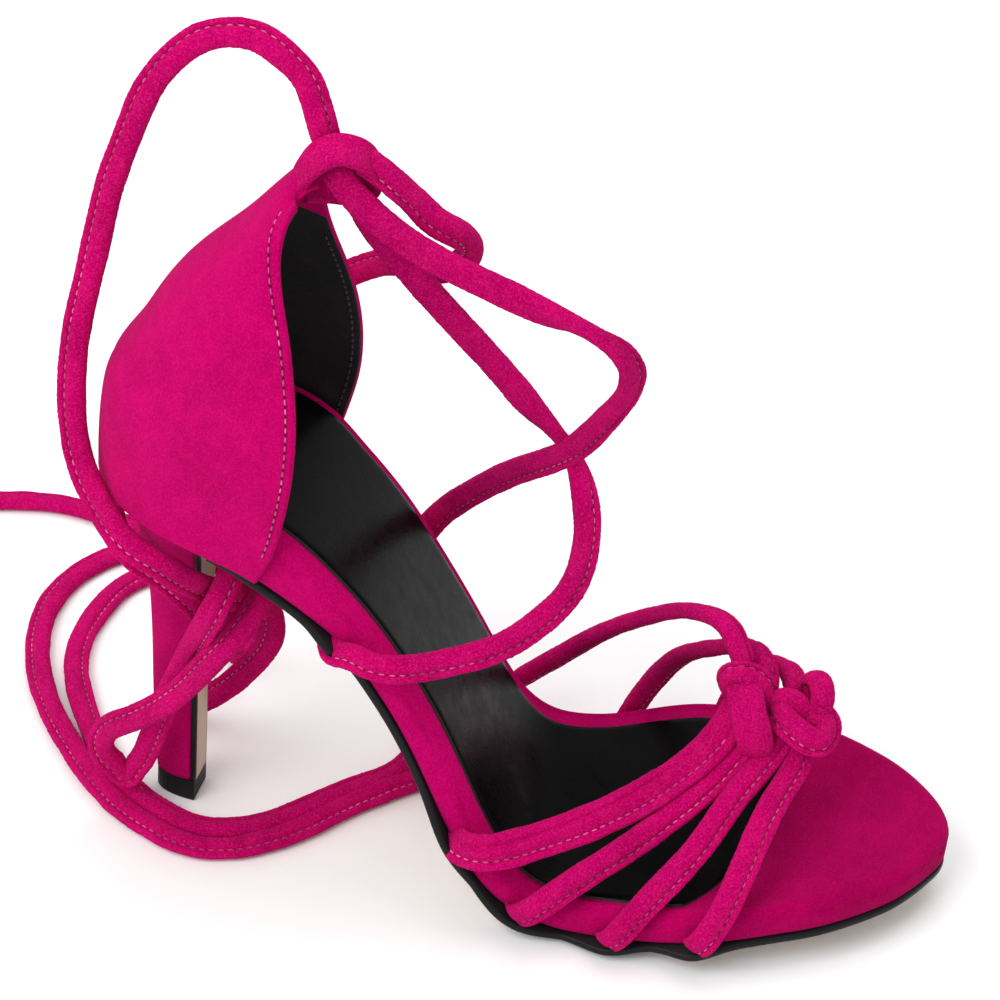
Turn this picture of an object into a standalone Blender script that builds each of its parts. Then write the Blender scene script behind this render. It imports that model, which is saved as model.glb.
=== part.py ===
"""Lace up heeled sandal: one shoe, standing on its heel tip and forefoot.

Frame: metres, +Z up, +X to the toe, +Y to the inner side of the foot.
The origin is on the floor, at the middle of the heel tip.
"""
import math

import bmesh
import bpy
import numpy as np

MM = 0.001

# Sole
FOOTBED_RUN = 0.1941
FOOTBED_RISE = 0.0970
BALL_WIDTH = 0.0781
HEEL_INSET = 0.0140
RIM_THICKNESS = 0.0078
SEAT_EXTRA = 0.0044
RIM_LIP = 0.0008
RIM_ROUND = 0.0026
OUTSOLE_THICKNESS = 0.0030
OUTSOLE_MARGIN = 0.0004
STRAP_BULGE = 0.0042
STRAP_BULGE_REACH = 0.0065
SOCK_THICKNESS = 0.0010
SOCK_INSET = 0.0043
GAP = 0.0003
FLAT_SINK = 0.0004

# Heel
LIFT_HEIGHT = 0.0060
LIFT_LENGTH = 0.0104
LIFT_WIDTH = 0.0086
HEEL_TURN = math.radians(-8.0)
COVER_THICKNESS = 0.0013
HEEL_SEAT_WIDTH = 0.0560
HEEL_SEAT_LENGTH = 0.0232

# Heel cup
CUP_DEPTH = 0.0500
CUP_RISE = 0.0600
CUP_WIDTH = 0.0640
CUP_WALL = 0.0017
CUP_NEAR_WING = 0.0425
CUP_FAR_WING = 0.0490

# Straps and laces
STRAP_WIDTH = 0.0062
STRAP_DEPTH = 0.0042
LACE_WIDTH = 0.0050
LOOP_WIDTH = 0.0064
LOOP_WALL = 0.0017
LOOP_INSIDE = 0.0126

# Shape of the footbed's top, from the back of the seat to the toe:
# run and rise are shares of FOOTBED_RUN and FOOTBED_RISE.
FOOTBED = (
    # run, rise
    (0.000, 0.993),
    (0.058, 0.972),
    (0.133, 0.940),
    (0.205, 0.883),
    (0.262, 0.780),
    (0.311, 0.660),
    (0.353, 0.531),
    (0.392, 0.397),
    (0.427, 0.259),
    (0.463, 0.124),
    (0.514, 0.020),
    (0.590, 0.001),
    (0.667, 0.022),
    (0.743, 0.045),
    (0.820, 0.062),
    (0.897, 0.072),
    (0.974, 0.077),
    (1.000, 0.077),
)

# Outline of the footbed: along is a share of its length on the curve,
# near and far are half widths as shares of BALL_WIDTH.
OUTLINE = (
    # along, near, far
    (0.000, 0.000, 0.000),
    (0.010, 0.131, 0.131),
    (0.035, 0.234, 0.234),
    (0.075, 0.305, 0.309),
    (0.140, 0.350, 0.360),
    (0.190, 0.360, 0.358),
    (0.240, 0.355, 0.345),
    (0.380, 0.342, 0.344),
    (0.525, 0.385, 0.374),
    (0.650, 0.462, 0.444),
    (0.752, 0.493, 0.507),
    (0.855, 0.426, 0.442),
    (0.938, 0.286, 0.303),
    (0.983, 0.134, 0.154),
    (1.000, 0.000, 0.000),
)

# Heel shaft: height is a share of the way from the lift to the seat,
# back and front are shares of HEEL_SEAT_LENGTH from the tip's middle,
# half is a share of HEEL_SEAT_WIDTH.
HEEL = (
    # height, back, front, half
    (0.000, -0.228, 0.181, 0.073),
    (0.280, -0.276, 0.185, 0.082),
    (0.420, -0.284, 0.190, 0.089),
    (0.575, -0.306, 0.203, 0.107),
    (0.680, -0.345, 0.224, 0.134),
    (0.780, -0.400, 0.259, 0.188),
    (0.880, -0.475, 0.302, 0.277),
    (1.000, -0.600, 0.358, 0.455),
)

# Heel cup above the seat: run is a share of CUP_DEPTH from the back of the
# footbed, rise a share of CUP_RISE above the seat's back, half a share of
# CUP_WIDTH. Rows go from the seat to the tip under the loop.
CUP = (
    # back run, back rise, near run, near rise, far run, far rise, half
    (-0.050, -0.08, 0.815, -0.14, 0.930, -0.18, 0.490),
    (-0.036, 0.08, 0.830, 0.08, 0.950, -0.03, 0.502),
    (0.030, 0.26, 0.850, 0.25, 0.955, 0.10, 0.500),
    (0.095, 0.39, 0.850, 0.38, 0.945, 0.23, 0.477),
    (0.180, 0.53, 0.830, 0.50, 0.915, 0.38, 0.435),
    (0.285, 0.65, 0.805, 0.59, 0.890, 0.50, 0.378),
    (0.420, 0.76, 0.775, 0.67, 0.860, 0.61, 0.308),
    (0.535, 0.85, 0.740, 0.73, 0.830, 0.70, 0.236),
    (0.635, 0.92, 0.715, 0.79, 0.810, 0.78, 0.160),
    (0.690, 0.97, 0.725, 0.86, 0.795, 0.85, 0.112),
    (0.720, 1.00, 0.760, 0.90, 0.800, 0.90, 0.086),
)

# Toe straps: side of the foot, share of the footbed's length where the foot
# of the strap is tucked in, width as a share of STRAP_WIDTH, then its
# chosen points in millimetres from there to its knot.
STRAPS = (
    ("near", 0.533, 1.30, (
        (76, -36.5, 24.5), (84, -33.5, 25.5), (94, -27.5, 26.5), (105, -20.5, 29),
        (116, -12.5, 33.5), (124, -6, 40), (127.5, -3, 47))),
    ("near", 0.607, 1.00, (
        (91, -38, 14.5), (97, -34, 18), (105.5, -28, 22), (117.5, -18, 28),
        (127, -9.5, 35), (131, -5, 41))),
    ("near", 0.681, 1.00, (
        (110.5, -39, 14), (115.5, -35, 19.5), (123, -26.5, 26), (130, -15.5, 33),
        (136, -8, 38.5), (139, -4, 43))),
    ("near", 0.762, 1.00, (
        (129, -39.5, 17), (132, -34, 23.5), (135, -25.5, 29), (139, -15.5, 34),
        (142.5, -8, 38.5), (143, -4, 42))),
    ("far", 0.565, 0.90, (
        (83.5, 34.5, 24), (94, 31.5, 36), (107, 22.5, 51), (116.5, 14, 60),
        (123.5, 7.5, 61.5), (127.5, 3, 56))),
    ("far", 0.673, 0.90, (
        (110.5, 39, 22), (118.5, 28, 38), (126, 18.5, 48), (131, 11, 52.5),
        (133.5, 5.5, 50), (133, 1, 45))),
    ("far", 0.772, 0.90, (
        (131, 37.5, 25), (134.5, 24, 40), (139, 14, 46), (141, 6, 46))),
)

# Knots of the toe straps: rings of strap round a core, in millimetres:
# middle, direction of the ring's axis, radii, turned about the axis.
KNOTS = (
    # core middle, core half sizes
    ((129.0, -2.5, 47.0), (6.0, 5.5, 9.5)),
    ((142.5, -1.0, 44.0), (6.5, 5.5, 6.5)),
)
KNOT_RINGS = (
    # middle, axis, long radius, short radius
    ((127.5, -0.5, 53.0), (0.3, 0.2, 0.95), 5.6, 5.0),
    ((129.5, -3.0, 45.0), (0.95, 0.3, -0.1), 8.2, 5.6),
    ((141.0, 1.0, 48.0), (0.1, 0.5, 0.85), 5.6, 5.0),
    ((144.5, -2.5, 42.5), (0.75, 0.2, 0.62), 6.4, 5.4),
    ((147.5, 5.5, 48.5), (0.75, -0.6, 0.2), 5.8, 3.9),
)

# Laces, chosen points in millimetres. Each front lace starts beside the rim
# at the waist, crosses the other over the instep and ends in the cup's loop.
NEAR_LACE = (
    (42.5, -31, 70), (47.5, -33.2, 70.5), (55, -33, 70.5), (64.5, -31, 72.5),
    (74.5, -27, 75), (82, -20, 77.5), (87.5, -12, 80.5), (89.5, -4, 83.5),
    (89.5, 3, 87), (87.5, 10, 92.5), (84, 14.5, 98.5), (78.5, 13, 106),
    (68, 8.5, 121), (56.5, 4.5, 136), (48.5, 2.5, 146), (41.5, 2.5, 154),
    (36.5, 3, 161), (33, 3, 168),
)
FAR_LACE = (
    (53, 31.5, 63), (61, 28.5, 74), (72.5, 20, 88.5), (83.5, 11.5, 101),
    (91.5, 3.5, 117), (95.5, -3, 129.5), (94, -7, 138.5), (88.5, -8, 143.5),
    (79.5, -8, 147), (66.5, -6.5, 151), (54, -5.5, 155.5), (46, -5, 159.5),
    (39.5, -4.2, 164.5), (34.6, -2.8, 169.5),
)

# The near lace goes on from the loop, stands up in a high loop, runs round
# the heel, hangs in a bight and lies along the floor to its end.
HIGH_LOOP = (
    (30, 0.5, 172.8), (28.3, 0.5, 178.5), (26.5, 1, 184), (24, 2, 189.5),
    (19, 3, 194), (14, 4, 196.5), (8, 4, 197), (2, 4, 195), (-3, 3, 191),
    (-8, 2, 184), (-12, 1, 173.5), (-15.5, 0, 162.5), (-18, -1, 150.5),
    (-20, -3, 139.5), (-22, -5, 128), (-22.5, -8, 117), (-21.5, -11, 106.5),
    (-18.5, -14.5, 98), (-14, -19, 93), (-7, -25.5, 89), (0.5, -26, 84.5),
    (6, -21.5, 77.5), (10.8, -13.2, 69.3), (13.2, -6.5, 63.5), (15.2, -1, 58),
    (14.5, 5, 55.5), (10.2, 11.4, 55.4), (4, 15, 59.5), (0.5, 18, 66), (3.5, 20, 71.5),
    (9.5, 17.5, 73.5), (16.5, 8.5, 72.5), (20.5, -3, 71), (20, -12.5, 69),
    (16.5, -19, 64), (11.2, -20.5, 56.5), (5.5, -19.5, 47.5), (-1, -17.8, 39),
    (-8, -16.2, 32.5), (-13.2, -14, 27.5), (-16, -11.5, 21), (-15, -9.5, 14),
    (-10.5, -8.5, 10.5), (-6.5, -9.2, 16), (-3.5, -10.4, 26), (0, -11.8, 37.5),
    (3.8, -14, 49), (8.2, -20, 62.3), (11.8, -22.3, 72), (14, -15.5, 76.3),
    (13.8, -3, 72.8), (11.8, 8.5, 65), (9.6, 19, 58), (7.3, 23.5, 47), (5.8, 27, 34),
    (5.5, 34, 19), (6, 45, 8), (7, 58, 3.4), (6, 71, 2.6), (1, 82, 2.6),
    (-7, 89, 2.6), (-17, 92, 2.6), (-27, 94, 2.6), (-36, 97.5, 2.6),
    (-44.5, 100.5, 2.6), (-53, 102, 2.6), (-61, 101.5, 2.6), (-69, 100, 2.6),
    (-78, 97, 2.6), (-86, 93, 2.6),
)

# The far lace comes back out of the loop, turns round behind the cup, runs
# down round the heel and lies on the floor in one long double loop.
BACK_LACE = (
    (41, -1.1, 171.7), (44.5, -0.8, 168.7), (47.8, -0.1, 165.4), (51.9, 0.9, 161),
    (56.5, 3, 157.5), (58.5, 8, 151.5), (56.5, 14, 144), (52, 19, 139),
    (43.5, 28, 134), (34, 36, 127), (24, 38.5, 119), (12, 37, 110),
    (0, 34, 101), (-9, 25, 92.5), (-14.5, 14, 87), (-16.3, 5, 83.5),
    (-15.8, -2, 81), (-13.2, -8, 78.5), (-9, -12, 76), (-3.5, -13.2, 72.8),
    (2, -13, 68.2), (6.5, -10.8, 62), (10, -6.8, 56), (12.8, -1.2, 51),
    (15.5, 4, 50), (18.4, 8, 49), (19.5, 9, 44), (18.5, 9.5, 38),
    (15, 10.5, 31), (10.5, 12, 24), (4.5, 13.5, 17), (-1.5, 17, 11),
    (-4.5, 25, 6.5), (-5, 36, 3.6), (-4.5, 48, 2.6), (-4.5, 60, 2.6),
    (-7.5, 71, 2.6), (-13.5, 80, 2.6), (-22, 85.5, 2.6), (-31, 84.5, 2.6),
    (-38.5, 77.5, 2.6), (-44, 66, 2.6), (-45.5, 51.5, 2.6), (-43, 37, 2.6),
    (-36, 20, 2.6), (-26, 4.5, 2.6), (-14.5, -9.5, 2.6), (-3, -18, 2.6),
    (9.5, -22.5, 2.6), (20.5, -19.5, 2.6), (31, -12, 2.6), (41, -1.5, 2.6),
    (51.5, 7.5, 2.6), (60, 14.5, 2.6), (67, 23, 2.6), (68.5, 32, 2.6),
    (63, 37.5, 2.6), (56.5, 33.5, 2.6), (54.5, 24, 2.6), (51, 14, 2.6),
    (40.5, 4.5, 2.6), (30, -5.5, 2.6), (19.5, -13, 2.6), (8, -15.5, 2.6),
    (-2.2, -11.4, 2.6), (-12.5, -3, 2.6), (-21, 8.5, 2.6), (-28.5, 23, 2.6),
    (-33.5, 38, 2.6), (-34, 51, 2.6), (-31.5, 63, 2.6), (-26, 74, 2.6),
    (-19.5, 78.5, 2.6),
)


def pieces_of(names, rows):
    """Columns of a table by name."""
    return {name: np.array([row[i] for row in rows]) for i, name in enumerate(names)}


def monotone(x, xs, ys):
    """Smooth curve through the points that never overshoots them."""
    step = np.diff(xs)
    slope = np.diff(ys) / step
    tangent = np.zeros(len(xs))
    same = slope[:-1] * slope[1:] > 0
    w1 = 2 * step[1:] + step[:-1]
    w2 = step[1:] + 2 * step[:-1]
    first = np.where(same, slope[:-1], 1.0)
    second = np.where(same, slope[1:], 1.0)
    tangent[1:-1] = np.where(same, (w1 + w2) / (w1 / first + w2 / second), 0.0)
    tangent[0] = slope[0]
    tangent[-1] = slope[-1]
    i = np.clip(np.searchsorted(xs, x) - 1, 0, len(xs) - 2)
    t = (x - xs[i]) / step[i]
    a = (1 + 2 * t) * (1 - t) ** 2
    b = t * (1 - t) ** 2
    c = t * t * (3 - 2 * t)
    d = t * t * (t - 1)
    return a * ys[i] + b * step[i] * tangent[i] + c * ys[i + 1] + d * step[i] * tangent[i + 1]


def smooth(points, count):
    """Natural cubic curve through the points, as count evenly spaced ones."""
    points = np.asarray(points, float)
    gaps = np.linalg.norm(np.diff(points, axis=0), axis=1)
    at = np.concatenate([[0.0], np.cumsum(gaps)])
    n = len(points)
    matrix = np.eye(n)
    right = np.zeros_like(points)
    for k in range(1, n - 1):
        matrix[k, k - 1] = gaps[k - 1]
        matrix[k, k] = 2 * (gaps[k - 1] + gaps[k])
        matrix[k, k + 1] = gaps[k]
        change = (points[k + 1] - points[k]) / gaps[k] - (points[k] - points[k - 1]) / gaps[k - 1]
        right[k] = 6 * change
    bend = np.linalg.solve(matrix, right)
    fine = np.linspace(0.0, at[-1], 40 * n)
    i = np.clip(np.searchsorted(at, fine) - 1, 0, n - 2)
    h = gaps[i][:, None]
    left = (at[i + 1] - fine)[:, None]
    rest = (fine - at[i])[:, None]
    curve = bend[i] * left ** 3 / (6 * h) + bend[i + 1] * rest ** 3 / (6 * h)
    curve += (points[i] / h - bend[i] * h / 6) * left
    curve += (points[i + 1] / h - bend[i + 1] * h / 6) * rest
    run = np.concatenate([[0.0], np.cumsum(np.linalg.norm(np.diff(curve, axis=0), axis=1))])
    even = np.linspace(0.0, run[-1], count)
    return np.stack([np.interp(even, run, curve[:, k]) for k in range(curve.shape[1])], axis=1)


class Sole:
    """The footbed's curved centre line and its two half widths."""

    def __init__(self):
        bed = pieces_of(("run", "rise"), FOOTBED)
        stack = RIM_THICKNESS + GAP + OUTSOLE_THICKNESS + GAP
        x = bed["run"] * FOOTBED_RUN - HEEL_INSET
        z = bed["rise"] * FOOTBED_RISE + stack - FLAT_SINK
        self.line = smooth(np.stack([x, z], axis=1), 481)
        self.share = np.linspace(0.0, 1.0, 481)
        self.length = np.linalg.norm(np.diff(self.line, axis=0), axis=1).sum()
        slope = np.gradient(self.line, axis=0)
        slope /= np.linalg.norm(slope, axis=1)[:, None]
        self.slope = slope
        out = pieces_of(("along", "near", "far"), OUTLINE)
        self.near = np.sqrt(np.maximum(monotone(self.share, out["along"], out["near"] ** 2), 0))
        self.far = np.sqrt(np.maximum(monotone(self.share, out["along"], out["far"] ** 2), 0))

    def half(self, share, side):
        """Half width of the footbed at a share of its length."""
        column = self.near if side < 0 else self.far
        return np.interp(share, self.share, column) * BALL_WIDTH

    def board(self, share):
        """Thickness of the board, which is deeper at the seat than at the toe."""
        fade = np.clip((0.33 - share) / 0.16, 0.0, 1.0)
        return RIM_THICKNESS + SEAT_EXTRA * fade * fade * (3 - 2 * fade)

    def point(self, share, level):
        """Points in the middle plane, level above the footbed's top."""
        x = np.interp(share, self.share, self.line[:, 0])
        z = np.interp(share, self.share, self.line[:, 1])
        dx = np.interp(share, self.share, self.slope[:, 0])
        dz = np.interp(share, self.share, self.slope[:, 1])
        return x - dz * level, z + dx * level


def stations(first, last, count):
    """Shares along the footbed, closer together at both round ends."""
    u = np.linspace(0.0, 1.0, count)
    eased = 0.5 - 0.5 * np.cos(np.pi * u)
    return first + (last - first) * (0.45 * u + 0.55 * eased)


def material(name, colour, roughness, metallic=0.0):
    """A plain Principled material."""
    made = bpy.data.materials.new(name)
    made.use_nodes = True
    shader = made.node_tree.nodes["Principled BSDF"]
    shader.inputs["Base Color"].default_value = (*colour, 1.0)
    shader.inputs["Roughness"].default_value = roughness
    shader.inputs["Metallic"].default_value = metallic
    made.diffuse_color = (*colour, 1.0)
    return made


def solid(name, points, faces, finish, sharp=50.0):
    """One closed mesh object, with its faces turned outwards."""
    mesh = bpy.data.meshes.new(name)
    mesh.from_pydata([tuple(map(float, p)) for p in points], [], faces)
    shape = bmesh.new()
    shape.from_mesh(mesh)
    bmesh.ops.recalc_face_normals(shape, faces=shape.faces)
    if shape.calc_volume(signed=True) < 0:
        bmesh.ops.reverse_faces(shape, faces=shape.faces)
    shape.to_mesh(mesh)
    shape.free()
    mesh.validate()
    mesh.shade_smooth()
    mesh.set_sharp_from_angle(angle=math.radians(sharp))
    mesh.materials.append(finish)
    made = bpy.data.objects.new(name, mesh)
    bpy.context.collection.objects.link(made)
    return made


def loft(rings, ladder=False, closed=False):
    """Faces that join rings of equal size. A ladder cap joins points in pairs."""
    rings = np.asarray(rings)
    count, size = rings.shape[:2]
    faces = []
    turns = count if closed else count - 1
    for i in range(turns):
        j = (i + 1) % count
        for k in range(size):
            m = (k + 1) % size
            faces.append((i * size + k, i * size + m, j * size + m, j * size + k))
    if closed:
        return rings.reshape(-1, 3), faces
    for start, flip in ((0, True), ((count - 1) * size, False)):
        if ladder:
            for k in range(size // 2 - 1):
                cell = [start + k, start + k + 1, start + size - 2 - k, start + size - 1 - k]
                faces.append(tuple(cell[::-1] if flip else cell))
        else:
            cap = list(range(start, start + size))
            faces.append(tuple(cap[::-1] if flip else cap))
    return rings.reshape(-1, 3), faces


def band_ring(sole, share, near, far, top, bottom, lip, rounding):
    """Section of a flat band across the foot: crowned sides, flat underside."""
    points = []
    for side, half in ((-1, near), (1, far)):
        r = min(rounding, 0.6 * half)
        low = min(0.45 * rounding, 0.3 * half)
        column = [(half - 1.9 * r, 0.0), (half - r, lip), (half - 0.35 * r, lip - 0.3 * r)]
        column += [(half, lip - r), (half, bottom - top + low), (half - low, bottom - top)]
        if side > 0:
            column = column[::-1]
        for y, level in column:
            x, z = sole.point(share, top + level)
            points.append((float(x), side * y, float(z)))
    near_half = points[:6]
    far_half = points[6:]
    return near_half[::-1] + far_half[::-1]


def strap_bulges(sole, share, side):
    """Extra half width of the outsole beside each strap's foot."""
    extra = 0.0
    for name, at, width, _ in STRAPS:
        if (name == "near") == (side < 0):
            away = (share - at) * sole.length / (STRAP_BULGE_REACH * width)
            extra = max(extra, STRAP_BULGE * math.exp(-away * away))
    return extra


def build_rim(sole, finish):
    """Suede wrapped board that carries the foot, heel to toe."""
    rings = []
    for share in stations(0.003, 0.997, 40):
        fade = min(max((0.90 - share) / 0.10, 0.0), 1.0)
        near = sole.half(share, -1)
        far = sole.half(share, 1)
        lip = RIM_LIP * fade
        rings.append(band_ring(sole, share, near, far, 0.0, -sole.board(share), lip, RIM_ROUND))
    return solid("footbed_rim", *loft(rings), finish)


def build_outsole(sole, finish, first):
    """Thin leather sole under the board, with flat ground contact at the ball."""
    rings = []
    for share in stations(first, 0.997, 64):
        top = -sole.board(share) - GAP
        base = top - OUTSOLE_THICKNESS
        ring = []
        halves = []
        for side in (-1, 1):
            bulge = strap_bulges(sole, share, side)
            halves.append(sole.half(share, side) + OUTSOLE_MARGIN + bulge)
        row = (
            (-halves[0], base + 0.25 * OUTSOLE_THICKNESS), (-halves[0], top),
            (halves[1], top), (halves[1], base + 0.25 * OUTSOLE_THICKNESS),
            (halves[1] - 0.8 * OUTSOLE_THICKNESS * min(1, halves[1] / 0.01), base),
            (-halves[0] + 0.8 * OUTSOLE_THICKNESS * min(1, halves[0] / 0.01), base),
        )
        for y, level in row:
            x, z = sole.point(share, level)
            ring.append((float(x), y, max(float(z), 0.0)))
        rings.append(ring)
    return solid("outsole", *loft(rings), finish, sharp=35.0)


def build_sock(sole, finish):
    """Leather lining of the footbed, from the seat to its slanted front edge."""
    low = GAP + RIM_LIP
    high = low + SOCK_THICKNESS
    across = (-1.0, -0.9, -0.45, 0.0, 0.45, 0.9, 1.0)
    rings = []
    for share in stations(0.018, 1.0, 34):
        ring = []
        rows = [(f, low) for f in across] + [(f, high - 0.25 * SOCK_THICKNESS * (abs(f) == 1.0)) for f in across[::-1]]
        for f, level in rows:
            end = 0.815 + 0.045 * f
            at = share * end + 0.018 * (1 - share)
            side = -1 if f < 0 else 1
            half = sole.half(at, side) - SOCK_INSET
            x, z = sole.point(at, level)
            ring.append((float(x), f * half, float(z)))
        rings.append(ring)
    return solid("insole", *loft(rings, ladder=False), finish)


def seat_height(sole, x):
    """Height of the underside of the board over a place along the shoe."""
    xs, zs = sole.point(sole.share, -sole.board(sole.share))
    order = np.argsort(xs)
    return np.interp(x, xs[order], zs[order])


def heel_row(height):
    """One row of the heel's table, read smoothly at a height share."""
    rows = pieces_of(("height", "back", "front", "half"), HEEL)
    values = [float(monotone(np.array([height]), rows["height"], rows[k])[0]) for k in ("back", "front", "half")]
    return values[0] * HEEL_SEAT_LENGTH, values[1] * HEEL_SEAT_LENGTH, values[2] * HEEL_SEAT_WIDTH


def heel_outline(back, front, half, arcs=9):
    """D shaped section in pairs of points: round at the back, flat in front."""
    angles = np.linspace(0.06, 0.5 * math.pi, arcs)
    depth = front - back
    round_x = front - depth * np.cos(angles) ** 0.85
    near = []
    for a in angles:
        near.append((back + depth * (1 - math.cos(a)), -half * math.sin(a)))
    far = [(x, -y) for x, y in near]
    return near + far[::-1], float(round_x[0])


def build_heel(sole, finish):
    """Slender covered heel that flares into the seat."""
    base = LIFT_HEIGHT + GAP
    rings = []
    heights = np.concatenate([np.linspace(0.0, 0.58, 6), np.linspace(0.64, 1.0, 9)])
    for height in heights:
        back, front, half = heel_row(height)
        outline, _ = heel_outline(back, front, half)
        turn = HEEL_TURN * (1.0 - 0.6 * height)
        ring = []
        for x, y in outline:
            px = x * math.cos(turn) - y * math.sin(turn)
            py = x * math.sin(turn) + y * math.cos(turn)
            top = seat_height(sole, px) - GAP / 0.96
            ring.append((px, py, base + (float(top) - base) * height))
        rings.append(ring)
    return solid("heel", *loft(rings, ladder=True), finish)


def build_breast(sole, finish):
    """Bare leather facing on the flat front of the heel."""
    base = LIFT_HEIGHT + GAP
    rings = []
    for height in np.linspace(0.0, 0.965, 14):
        back, front, half = heel_row(height)
        turn = HEEL_TURN * (1.0 - 0.6 * height)
        half -= 0.0002
        ring = []
        start = front + GAP
        end = front + GAP + COVER_THICKNESS
        for x, y in ((start, -half), (end, -half), (end, half), (start, half)):
            px = x * math.cos(turn) - y * math.sin(turn)
            py = x * math.sin(turn) + y * math.cos(turn)
            top = seat_height(sole, px) - GAP / 0.96
            ring.append((px, py, base + (float(top) - base) * height))
        rings.append(ring)
    return solid("heel_breast", *loft(rings), finish, sharp=30.0)


def build_lift(finish):
    """Hard top piece at the end of the heel, flat on the floor."""
    rings = []
    for z, grow in ((0.0, -0.0003), (0.0005, 0.0), (LIFT_HEIGHT, 0.0)):
        back = -0.5 * LIFT_LENGTH - grow
        front = 0.5 * LIFT_LENGTH + grow
        outline, _ = heel_outline(back, front, 0.5 * LIFT_WIDTH + grow)
        ring = []
        for x, y in outline:
            px = x * math.cos(HEEL_TURN) - y * math.sin(HEEL_TURN)
            py = x * math.sin(HEEL_TURN) + y * math.cos(HEEL_TURN)
            ring.append((px, py, z))
        rings.append(ring)
    return solid("top_lift", *loft(rings, ladder=True), finish, sharp=35.0)


def cup_bottom(sole, turns):
    """Lower edge of the cup, round the seat board: outer points and outward directions."""
    places = []
    for turn in turns:
        side = -1 if turn < 0 else 1
        wing = CUP_NEAR_WING if side < 0 else CUP_FAR_WING
        away = wing * (1 - math.cos(abs(turn) * 0.5 * math.pi))
        share = max(away / sole.length, 0.0004)
        x, z = sole.point(share, -sole.board(share))
        half = sole.half(share, side)
        places.append((float(x), side * half, float(z)))
    places = np.array(places)
    run = np.gradient(places[:, :2], axis=0)
    out = np.stack([-run[:, 1], run[:, 0]], axis=1)
    out /= np.linalg.norm(out, axis=1)[:, None]
    toward = places[:, :2] - np.array([0.012, 0.0])
    sign = np.sign((out * toward).sum(axis=1))
    out *= sign[:, None]
    return places, out


def build_cup(sole, finish):
    """Hollow heel cup: wraps the seat board and rises to a tip at the back."""
    turns = np.linspace(-1.0, 1.0, 25)
    places, out = cup_bottom(sole, turns)
    names = ("back_run", "back_rise", "near_run", "near_rise", "far_run", "far_rise", "half")
    cup = pieces_of(names, CUP)
    seat = FOOTBED[0][1] * FOOTBED_RISE + RIM_THICKNESS + OUTSOLE_THICKNESS
    index = np.linspace(0, len(CUP) - 1, 15)
    knots = np.arange(len(CUP))
    fine = {name: monotone(index, knots, cup[name]) for name in names}
    rows = []
    bottom = places.copy()
    bottom[:, :2] += out * (GAP + CUP_WALL)
    rows.append(bottom)
    board = places.copy()
    board[:, :2] += out * (GAP + CUP_WALL)
    board[:, 2] += (RIM_THICKNESS + SEAT_EXTRA) * 0.9
    rows.append(board)
    for i in range(len(index)):
        row = []
        for turn in turns:
            side = "near" if turn < 0 else "far"
            bend = math.cos(abs(turn) * 0.5 * math.pi)
            wide = math.sin(abs(turn) * 0.5 * math.pi) ** 0.9
            front_x = fine[side + "_run"][i] * CUP_DEPTH
            back_x = fine["back_run"][i] * CUP_DEPTH
            front_z = fine[side + "_rise"][i] * CUP_RISE
            back_z = fine["back_rise"][i] * CUP_RISE
            x = front_x + (back_x - front_x) * bend - HEEL_INSET
            z = front_z + (back_z - front_z) * bend ** 1.2 + seat
            y = math.copysign(fine["half"][i] * CUP_WIDTH * wide, turn)
            row.append((x, y, z))
        row = np.array(row)
        hold = max(0.0, 1.0 - i / 3.0)
        row[:, :2] = hold * board[:, :2] + (1.0 - hold) * row[:, :2]
        row[:, 2] = np.maximum(row[:, 2], board[:, 2] + 0.6 * CUP_WALL * (i + 1))
        rows.append(row)
    outer = np.array(rows)
    along = np.gradient(outer, axis=1)
    up = np.gradient(outer, axis=0)
    normal = np.cross(along, up)
    normal /= np.linalg.norm(normal, axis=2)[:, :, None]
    middle = outer.mean(axis=(0, 1))
    if (normal * (outer - middle)).sum() < 0:
        normal = -normal
    normal[0, :, :2] = out
    normal[0, :, 2] = 0
    normal[1, :, :2] = out
    normal[1, :, 2] = 0
    inner = outer - normal * CUP_WALL
    levels, size = outer.shape[:2]
    points = np.concatenate([outer.reshape(-1, 3), inner.reshape(-1, 3)])
    half = levels * size
    faces = []
    for i in range(levels - 1):
        for k in range(size - 1):
            a = i * size + k
            faces.append((a, a + 1, a + size + 1, a + size))
            b = half + a
            faces.append((b, b + size, b + size + 1, b + 1))
        for k in (0, size - 1):
            a = i * size + k
            edge = (a, a + size, half + a + size, half + a)
            faces.append(edge if k == 0 else edge[::-1])
    for row in (0, levels - 1):
        for k in range(size - 1):
            a = row * size + k
            edge = (a, half + a, half + a + 1, a + 1)
            faces.append(edge if row == 0 else edge[::-1])
    return solid("heel_cup", points, faces, finish)


def frame_along(path, reference):
    """Directions across a path: one towards the reference, one beside it."""
    run = np.gradient(path, axis=0)
    run /= np.linalg.norm(run, axis=1)[:, None]
    toward = reference - run * (reference * run).sum(axis=1)[:, None]
    toward /= np.linalg.norm(toward, axis=1)[:, None]
    beside = np.cross(run, toward)
    return toward, beside


def ribbon_tube(path, reference, wide, deep, sides=8, closed=False):
    """Rings of a flattened tube along a path."""
    toward, beside = frame_along(path, reference)
    angles = np.linspace(0, 2 * math.pi, sides, endpoint=False) + math.pi / sides
    c = np.cos(angles)[None, :, None]
    s = np.sin(angles)[None, :, None]
    rings = path[:, None, :] + beside[:, None, :] * c * 0.5 * wide + toward[:, None, :] * s * 0.5 * deep
    return loft(rings, closed=closed)


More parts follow.
